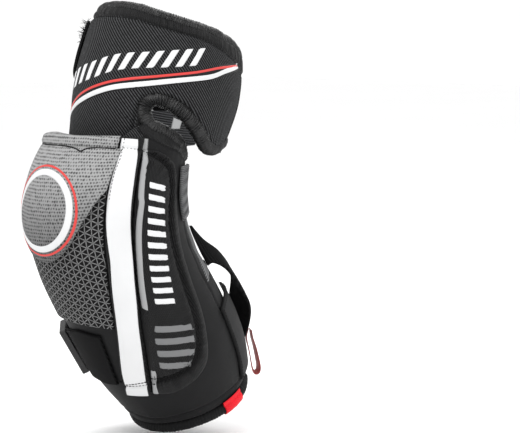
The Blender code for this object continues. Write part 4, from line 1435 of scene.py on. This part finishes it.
class PAD_OT_front(bpy.types.Operator):
    """Make the elbow cap, its collar, the side mesh, the slash guard and the white stripe"""

    bl_idname = "elbow_pad.front"
    bl_label = "Cap, mesh, slash guard and stripe"

    def execute(self, context):
        sizes = context.scene.elbow_pad_sizes
        layer = sizes.gap

        mesh = shell(
            "side_mesh_cloth", Patch(FORE, MESH_EDGES), sizes.mesh_wall, [CLOTHS["lattice"]], (170, 200),
            base=layer * 2, soft=0.001, relief=mesh_relief,
        )
        DONE["mesh"] = settle(mesh, ["side_mesh_panel"])
        cap = shell(
            "elbow_cap_cloth", Patch(FORE, CAP_EDGES), sizes.cap_wall, [CLOTHS["knit"]], (90, 110),
            base=layer * 4 + sizes.mesh_wall, edge=0.34, power=2.6, soft=0.0022, relief=cap_relief,
        )
        DONE["cap"] = settle(cap, ["elbow_cap"])
        collar = shell(
            "cap_collar_cloth", Patch(FORE, by_angle(COLLAR_EDGES)), sizes.cap_wall * 0.85, [CLOTHS["knit"]],
            (44, 260), base=layer, soft=0.0025, relief=collar_relief,
        )
        DONE["collar"] = settle(collar, ["cap_collar"])
        slash = shell(
            "slash_guard_cloth", Patch(FORE, SLASH_EDGES), sizes.slash_wall, [CLOTHS["slash"]], (90, 240),
            base=layer, edge=0.5, soft=0.004, relief=slash_relief,
        )
        DONE["slash"] = settle(slash, ["slash_guard"])
        stripe = shell(
            "slash_stripe_skin", Patch(FORE, STRIPE_EDGES), sizes.stripe_wall, [CLOTHS["slash"]], (60, 220),
            base=layer, edge=0.6, power=6.0, soft=0.0022, relief=stripe_relief,
        )
        DONE["stripe"] = settle(stripe, ["slash_stripe"])
        return {"FINISHED"}


class PAD_OT_straps(bpy.types.Operator):
    """Make the elastic straps, the wrap flap, the buckle, the pull loop and the label"""

    bl_idname = "elbow_pad.straps"
    bl_label = "Straps, buckle, loop and label"

    def execute(self, context):
        sizes = context.scene.elbow_pad_sizes
        layer = sizes.gap

        def plain(name, patch, cloth, node, base=layer, counts=(30, 120)):
            made = shell(
                name, patch, sizes.strap_wall, [CLOTHS[cloth]], counts, base=base, soft=0.0009,
                relief=lambda station, angle, face: 0.00018 * grain(face, 0.012, 3.0),
            )
            return settle(made, [node])

        fore, lower, flap = (Patch(FORE, rows) for rows in (FOREARM_STRAP, LOWER_STRAP_EDGES, FLAP_EDGES))
        upper = Patch(UPPER, by_angle(UPPER_STRAP))
        plain("forearm_strap_web", fore, "elastic", "forearm_strap")
        strap = plain("bicep_strap_web", upper, "elastic", "bicep_strap", 0.0, (40, 200))
        plain("lower_strap_web", lower, "elastic", "lower_strap")
        DONE["flap"] = plain("wrap_flap_cloth", flap, "cuff", "wrap_flap", counts=(60, 50))
        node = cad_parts["lower_strap_loop"]
        node.data.materials.clear()
        node.data.materials.append(CLOTHS["plastic"])
        settle(pull_loop("pull_loop_ribbon"), ["strap_pull_loop"])
        settle(folded_label("hem_label_cloth"), ["hem_label"])
        end, web = Skin(strap), CLOTHS["elastic"]
        bed = strip("fibre_bed", end, UPPER, TUFT_LEFT, TUFT_RIGHT, web, FIBRE_THICKNESS, (8, 40))
        values = {"Density": FIBRES, "Fibre length": sizes.fibre, "Thread": FIBRE_THICKNESS}
        values["Material"] = CLOTHS["fibre"]
        settle(grown("strap_end_fibres", bed, "fuzz", values))
        return {"FINISHED"}


def pull_loop(name):
    """Ribbon folded back on itself at the end of the forearm strap."""
    sizes = bpy.context.scene.elbow_pad_sizes
    on_strap = sizes.strap_wall + 3 * sizes.gap + sizes.ribbon_wall / 2
    (end_s, end_a, end_lift), (last_s, last_a, last_lift) = [
        (row[0] * MM, row[1] + 5, sizes.gap + row[4] * MM + on_strap) for row in FOREARM_STRAP[:-3:-1]]
    anchor = FORE.at(end_s, end_a, end_lift)
    down = unit(anchor - FORE.at(last_s, last_a, last_lift))
    across = unit(FORE.at(end_s, end_a + 3, end_lift) - FORE.at(end_s, end_a - 3, end_lift))
    away = unit(np.cross(down, across))
    x, z = FORE.section(end_s)[:2]
    if away @ (anchor - np.array([x, 0.0, z])) < 0:
        away = -away
    line = soften(evenly(along(PULL_LOOP, np.linspace(0, 1, 200)), 150), 6) * MM
    path = anchor + line[:, :1] * down + line[:, 1:] * away
    ahead = unit(np.gradient(path, axis=0))
    u = np.linspace(-0.5, 0.5, 9)
    twist = 0.35 * np.sin(np.linspace(0, math.pi, 150))[:, None]
    side = unit(across * np.cos(twist) + np.cross(ahead, across) * np.sin(twist))
    face = unit(np.cross(ahead, side))
    grid = path[:, None] + side[:, None] * (u * sizes.ribbon_width)[None, :, None]
    cup = face[:, None] * (0.0003 * (1 - (2 * u) ** 2))[None, :, None]
    lift = face[:, None] * (sizes.ribbon_wall / 2 * inner(grid.shape[:2])[..., None])
    run = np.linspace(0, 0.07, 150)[:, None]
    spots = np.stack(np.broadcast_arrays(u[None] * sizes.ribbon_width, run), -1)
    return sandwich(name, grid + lift + cup, grid - lift + cup, spots, [CLOTHS["ribbon"]])


def folded_label(name):
    """Bare label folded round the hem roll, its ends sewn to the cuff."""
    sizes = bpy.context.scene.elbow_pad_sizes
    angle, turn = np.meshgrid(np.linspace(*LABEL_ANGLES, 46), np.linspace(*LABEL_TURNS, 64), indexing="ij")
    rows = along(HEM_ROLL, np.linspace(0, 1, 300))
    station = np.interp(angle[:, 0], rows[:, 0], rows[:, 1]) * MM
    core = FORE.at(station, angle[:, 0], -sizes.cuff_wall / 2)
    ahead = unit(np.gradient(core, axis=0))
    out = FORE.at(station, angle[:, 0], 0.01) - core
    out = unit(out - ahead * (out * ahead).sum(-1, keepdims=True))
    up = np.cross(out, ahead)
    up *= np.sign(up[:, 2:])
    a = np.radians(turn)[..., None]
    way = out[:, None] * np.cos(a) + up[:, None] * np.sin(a)
    reach = sizes.edge_roll + sizes.gap
    face = core[:, None] + way * reach
    rise = np.linspace(*LABEL_RISE, 16) * MM
    tall = station[:, None] + rise[None]
    wide = np.repeat(angle[:, :1], len(rise), 1)
    flat = FORE.at(tall, wide, LABEL_LIFT)
    flat += (face[:, :1] - flat) * np.clip(1 - rise / 0.0025, 0, 1)[None, :, None]
    face = np.concatenate([flat, face], 1)
    way = np.concatenate([np.repeat(way[:, :1], len(rise), 1), way], 1)
    angle = np.concatenate([wide, angle], 1)
    turn = np.concatenate([np.repeat(LABEL_TURNS[0] + rise[None] / reach * 57.3, len(turn), 0), turn], 1)
    rim = inner(angle.shape)
    wave = 0.00022 * grain(face, 0.005, 7.0)[..., None]
    sewn = groove(np.abs(turn - 110) / 1000, 0.005, 0.0004)[..., None]
    high = face + way * (sizes.label_wall * (0.35 + 0.65 * rim[..., None]) + wave + sewn)
    low = face + way * (0.00012 + wave * 0.3)
    spots = np.stack([np.radians(angle) * 0.05, np.radians(turn) * reach], -1)
    return sandwich(name, high, low, spots, [CLOTHS["label"]])


def ring(skin, radius, width, finish, name, height, turns=180):
    """Flat ring printed on the cap, round when seen from the elbow's point."""
    t = np.linspace(0, 2 * math.pi, turns, endpoint=False)
    wide = 5
    reach = radius - width * np.linspace(0, 1, wide)
    y = RING_AT[0] * MM + reach[None, :] * np.cos(t)[:, None]
    z = RING_AT[1] * MM + reach[None, :] * np.sin(t)[:, None]
    spots, ups = [], []
    for a, b in zip(y.ravel().tolist(), z.ravel().tolist()):
        hit, normal, _, _ = skin.tree.ray_cast(Vector((-0.12, a, b)), Vector((1, 0, 0)), 0.12)
        if hit is None:
            raise RuntimeError(name + " misses the cap")
        spots.append(hit[:])
        ups.append((normal if normal.x < 0 else -normal)[:])
    spots, ups = np.array(spots).reshape(turns, wide, 3), np.array(ups).reshape(turns, wide, 3)
    middle = np.array([0.0, 1.0, 1.0, 1.0, 0.0])[None, :, None]
    top, low = raised(spots, ups, height, middle)
    points = np.concatenate([top.reshape(-1, 3), low[:, 1:-1].reshape(-1, 3)])
    upper = np.arange(turns * wide).reshape(turns, wide)
    lower = upper.copy()
    lower[:, 1:-1] = turns * wide + np.arange(turns * (wide - 2)).reshape(turns, wide - 2)
    faces = [quads(np.concatenate([index, index[:1]]), step) for index, step in ((upper, 1), (lower, -1))]
    flat = np.stack([y, z], -1)
    flat = np.concatenate([flat.reshape(-1, 2), flat[:, 1:-1].reshape(-1, 2)])
    return add_mesh(name, points, np.concatenate(faces), flat, [finish])


def beside(path, by):
    """The same line moved along the arm by some millimetres."""
    return [(s + by, a) for s, a in path]


def bar(name, skin, arm, low, high, start, end, slant, finish, height):
    """One slanted bar between two lines of places, from start to end along them."""
    steps = np.linspace(0, 1, PRINT_STEPS)
    low, high = (evenly(along(line, steps), PRINT_STEPS) for line in (low, high))
    u = np.linspace(0, 1, 14)

    def side(t):
        t = np.clip(t + slant * u, 0, 1)
        one, two = (np.stack([np.interp(t, steps, line[:, k]) for k in (0, 1)], -1) for line in (low, high))
        return one * (1 - u[:, None]) + two * u[:, None]

    return strip(name, skin, arm, side(start), side(end), finish, height, (6, 14))


class PAD_OT_prints(bpy.types.Operator):
    """Lay the printed lines, the ring and the bars on the cloth"""

    bl_idname = "elbow_pad.prints"
    bl_label = "Printed lines"

    def execute(self, context):
        sizes = context.scene.elbow_pad_sizes
        high = sizes.print_height
        guard, cap = Skin(DONE["guard"]), Skin(DONE["cap"], DONE["mesh"], DONE["stripe"])
        slash, stripe = Skin(DONE["slash"]), Skin(DONE["stripe"])
        lines = (  # name, slot, finish, each edge and its move, height, points across
            ("line_border", "black_satin", "ink", RED_LINE, 1.2, WHITE_LINE, -3.7, high * 0.4, 9),
            ("red_line", "red_label", "coral", RED_LINE, 0.0, RED_LINE, -2.6, high, 5),
            ("white_line", "white_synthetic", "white", WHITE_LINE, 2.6, WHITE_LINE, -2.6, high, 5),
        )
        for name, slot, cloth, left, there, right, here, height, across in lines:
            left, right = beside(left, there), beside(right, here)
            settle(strip(name, guard, UPPER, left, right, CLOTHS[cloth], height, (across, 260)))
        wide = ring(cap, sizes.ring_radius, sizes.ring_width, CLOTHS["white"], "cap_ring", high)
        settle(wide)
        thin = ring(cap, sizes.ring_radius + 0.0026, 0.0018, CLOTHS["coral"], "cap_red_ring", high)
        settle(thin)
        white = CLOTHS["white"]
        face = strip("stripe_face", stripe, FORE, STRIPE_LEFT, STRIPE_RIGHT, white, high * 1.3, (24, 240))
        settle(face)

        def bars(count, first, step, width, slant, cloth, *place):
            starts = [first + k * step for k in range(count)]
            return [
                bar(f"bar_{k}", *place, start, start + width, slant, CLOTHS[cloth], high)
                for k, start in enumerate(starts)
            ]

        made = bars(12, 0.07, 0.074, 0.044, 0.035, "white", guard, UPPER, BARS_LOW, BARS_HIGH)
        settle(join("guard_bars", made))
        made = bars(11, 0.02, 0.088, 0.05, 0.02, "white", slash, FORE, COLUMN_LEFT, COLUMN_RIGHT)
        settle(join("slash_bars", made))
        made = bars(4, 0.0, 0.25, 0.15, 0.04, "grey", slash, FORE, LOWER_LEFT, LOWER_RIGHT)
        lining, pale = Skin(DONE["lining"]), CLOTHS["pale"]
        made.append(strip("inner_tab", lining, UPPER, TAB_LEFT, TAB_RIGHT, pale, 0.0008, (8, 20)))
        made.append(strip("pin_line", slash, FORE, PIN_LEFT, PIN_RIGHT, pale, high, (5, 200)))
        made.append(strip("pin_end", slash, FORE, PIN_END_LEFT, PIN_END_RIGHT, pale, high, (5, 50)))
        settle(join("grey_prints", made))
        return {"FINISHED"}


class PAD_OT_seams(bpy.types.Operator):
    """Sew the visible stitches"""

    bl_idname = "elbow_pad.seams"
    bl_label = "Stitches"

    def execute(self, context):
        guard, cuff, flap = (Skin(DONE[name]) for name in ("guard", "cuff", "flap"))
        front = Skin(DONE["slash"], DONE["stripe"], DONE["cap"], DONE["collar"])
        upper_seams = [(guard, UPPER, path) for path in (TOP_STITCH, NOTCH_STITCH, GUARD_EDGE_STITCH)]
        cuff_seams = [(cuff, FORE, path) for path in (LOWER_STITCH, CUFF_SEAM, HEM_STITCH)]
        slash_seams = [(front, FORE, path) for path in (SLASH_STITCH[3:], STRIPE_END_STITCH)]
        stripe_seams = [(front, FORE, path) for path in (STRIPE_TOP_STITCH, PIPING_STITCH)]
        flap_seams = [(flap, FORE, path) for path in FLAP_STITCHES]
        rows = (  # name, slot, seams, pitch, thread, overlap
            ("seam_stitches", "black_satin", upper_seams + cuff_seams, 1.0, 1.0, 1.0),
            ("slash_stitches", "black_satin", slash_seams, 1.0, 1.9, 1.15),
            ("flap_stitches", "black_knit", flap_seams, 1.0, 1.5, 1.0),
            ("collar_stitches", "black_satin", [(front, FORE, COLLAR_STITCH)], 0.7, 2.2, 1.7),
            ("stripe_stitches", "black_satin", stripe_seams, 1.0, 1.2, 1.0),
        )
        for name, slot, seams, pitch, thread, overlap in rows:
            lines = [seam_line(*seam) for seam in seams]
            settle(stitches(name, lines, pitch, thread, overlap))
        return {"FINISHED"}


class PAD_OT_stage(bpy.types.Operator):
    """Set up the floor, the studio light and the camera"""

    bl_idname = "elbow_pad.stage"
    bl_label = "Stage"

    def execute(self, context):
        scene = context.scene
        low = min(CAD_BOX[0][2], CAD_BOX[1][2])
        floor = Finish("studio_floor", 0.6)
        tint = tuple(scene.elbow_pad_colours.floor)
        floor.paint(floor.mix(floor.noise(3.0, 2.0), tint, shade(tint, 1.03)))
        corners = ((-1, -1), (1, -1), (1, 1), (-1, 1))
        points = [(FLOOR_SIDE * x, FLOOR_SIDE * y, low - FLOOR_DROP) for x, y in corners]
        mesh = bpy.data.meshes.new("studio_floor")
        mesh.from_pydata(points, [], [(0, 1, 2, 3)])
        mesh.uv_layers.new(name="UVMap")
        mesh.materials.append(floor.material)
        ground = bpy.data.objects.new("studio_floor", mesh)
        scene.collection.objects.link(ground)
        scene.view_settings.view_transform = "Standard"
        world = scene.world or bpy.data.worlds.new("studio")
        scene.world = world
        world.use_nodes = True
        world.node_tree.nodes["Background"].inputs[0].default_value = (1, 1, 1, 1)
        world.node_tree.nodes["Background"].inputs[1].default_value = SKY
        turn, rise = math.radians(VIEW_TURN), math.radians(VIEW_RISE)
        back = Vector((math.sin(turn) * math.cos(rise), -math.cos(turn) * math.cos(rise), math.sin(rise)))
        right = (-back).cross(Vector((0, 0, 1))).normalized()
        up = right.cross(-back)
        for name, (ahead, aside, high), size, watts in LAMPS:
            place = back * ahead + right * aside + up * high
            light = bpy.data.lights.new(name, "AREA")
            light.size = size
            light.energy = watts
            lamp = bpy.data.objects.new(name, light)
            lamp.location = place
            lamp.rotation_euler = (-place).to_track_quat("-Z", "Y").to_euler()
            scene.collection.objects.link(lamp)
        eye = back * CAMERA_DISTANCE
        aim = right * AIM_RIGHT + up * AIM_UP
        data = bpy.data.cameras.new("camera")
        data.sensor_width = SENSOR_WIDTH
        data.lens = SENSOR_WIDTH * (CAMERA_DISTANCE / PIXEL) / IMAGE_WIDTH
        camera = bpy.data.objects.new("camera", data)
        camera.location = eye
        camera.rotation_euler = (aim - eye).to_track_quat("-Z", "Y").to_euler()
        scene.collection.objects.link(camera)
        scene.camera = camera
        return {"FINISHED"}


class PAD_PT_panel(bpy.types.Panel):
    """Lists the pieces of the elbow pad"""

    bl_idname = "PAD_PT_panel"
    bl_label = "Elbow pad"
    bl_space_type = "VIEW_3D"
    bl_region_type = "UI"
    bl_category = "Elbow pad"

    def draw(self, context):
        layout = self.layout
        for operator in OPERATORS:
            layout.operator(operator.bl_idname)
        for group in (context.scene.elbow_pad_sizes, context.scene.elbow_pad_colours):
            box = layout.box()
            for name in group.__annotations__:
                box.prop(group, name)


OPERATORS = (
    PAD_OT_stage, PAD_OT_cloths, PAD_OT_guard, PAD_OT_cuff, PAD_OT_rolls, PAD_OT_front, PAD_OT_straps,
    PAD_OT_prints, PAD_OT_seams,
)
CLASSES = (PadSizes, PadColours, *OPERATORS, PAD_PT_panel)


def register():
    for one in CLASSES:
        bpy.utils.register_class(one)
    bpy.types.Scene.elbow_pad_sizes = bpy.props.PointerProperty(type=PadSizes)
    bpy.types.Scene.elbow_pad_colours = bpy.props.PointerProperty(type=PadColours)


def unregister():
    del bpy.types.Scene.elbow_pad_colours
    del bpy.types.Scene.elbow_pad_sizes
    for one in reversed(CLASSES):
        bpy.utils.unregister_class(one)


def main():
    register()
    bpy.ops.elbow_pad.stage()
    bpy.ops.elbow_pad.cloths()
    bpy.ops.elbow_pad.guard()
    bpy.ops.elbow_pad.cuff()
    bpy.ops.elbow_pad.rolls()
    bpy.ops.elbow_pad.front()
    bpy.ops.elbow_pad.straps()
    bpy.ops.elbow_pad.prints()
    bpy.ops.elbow_pad.seams()


if __name__ == "__main__":
    main()
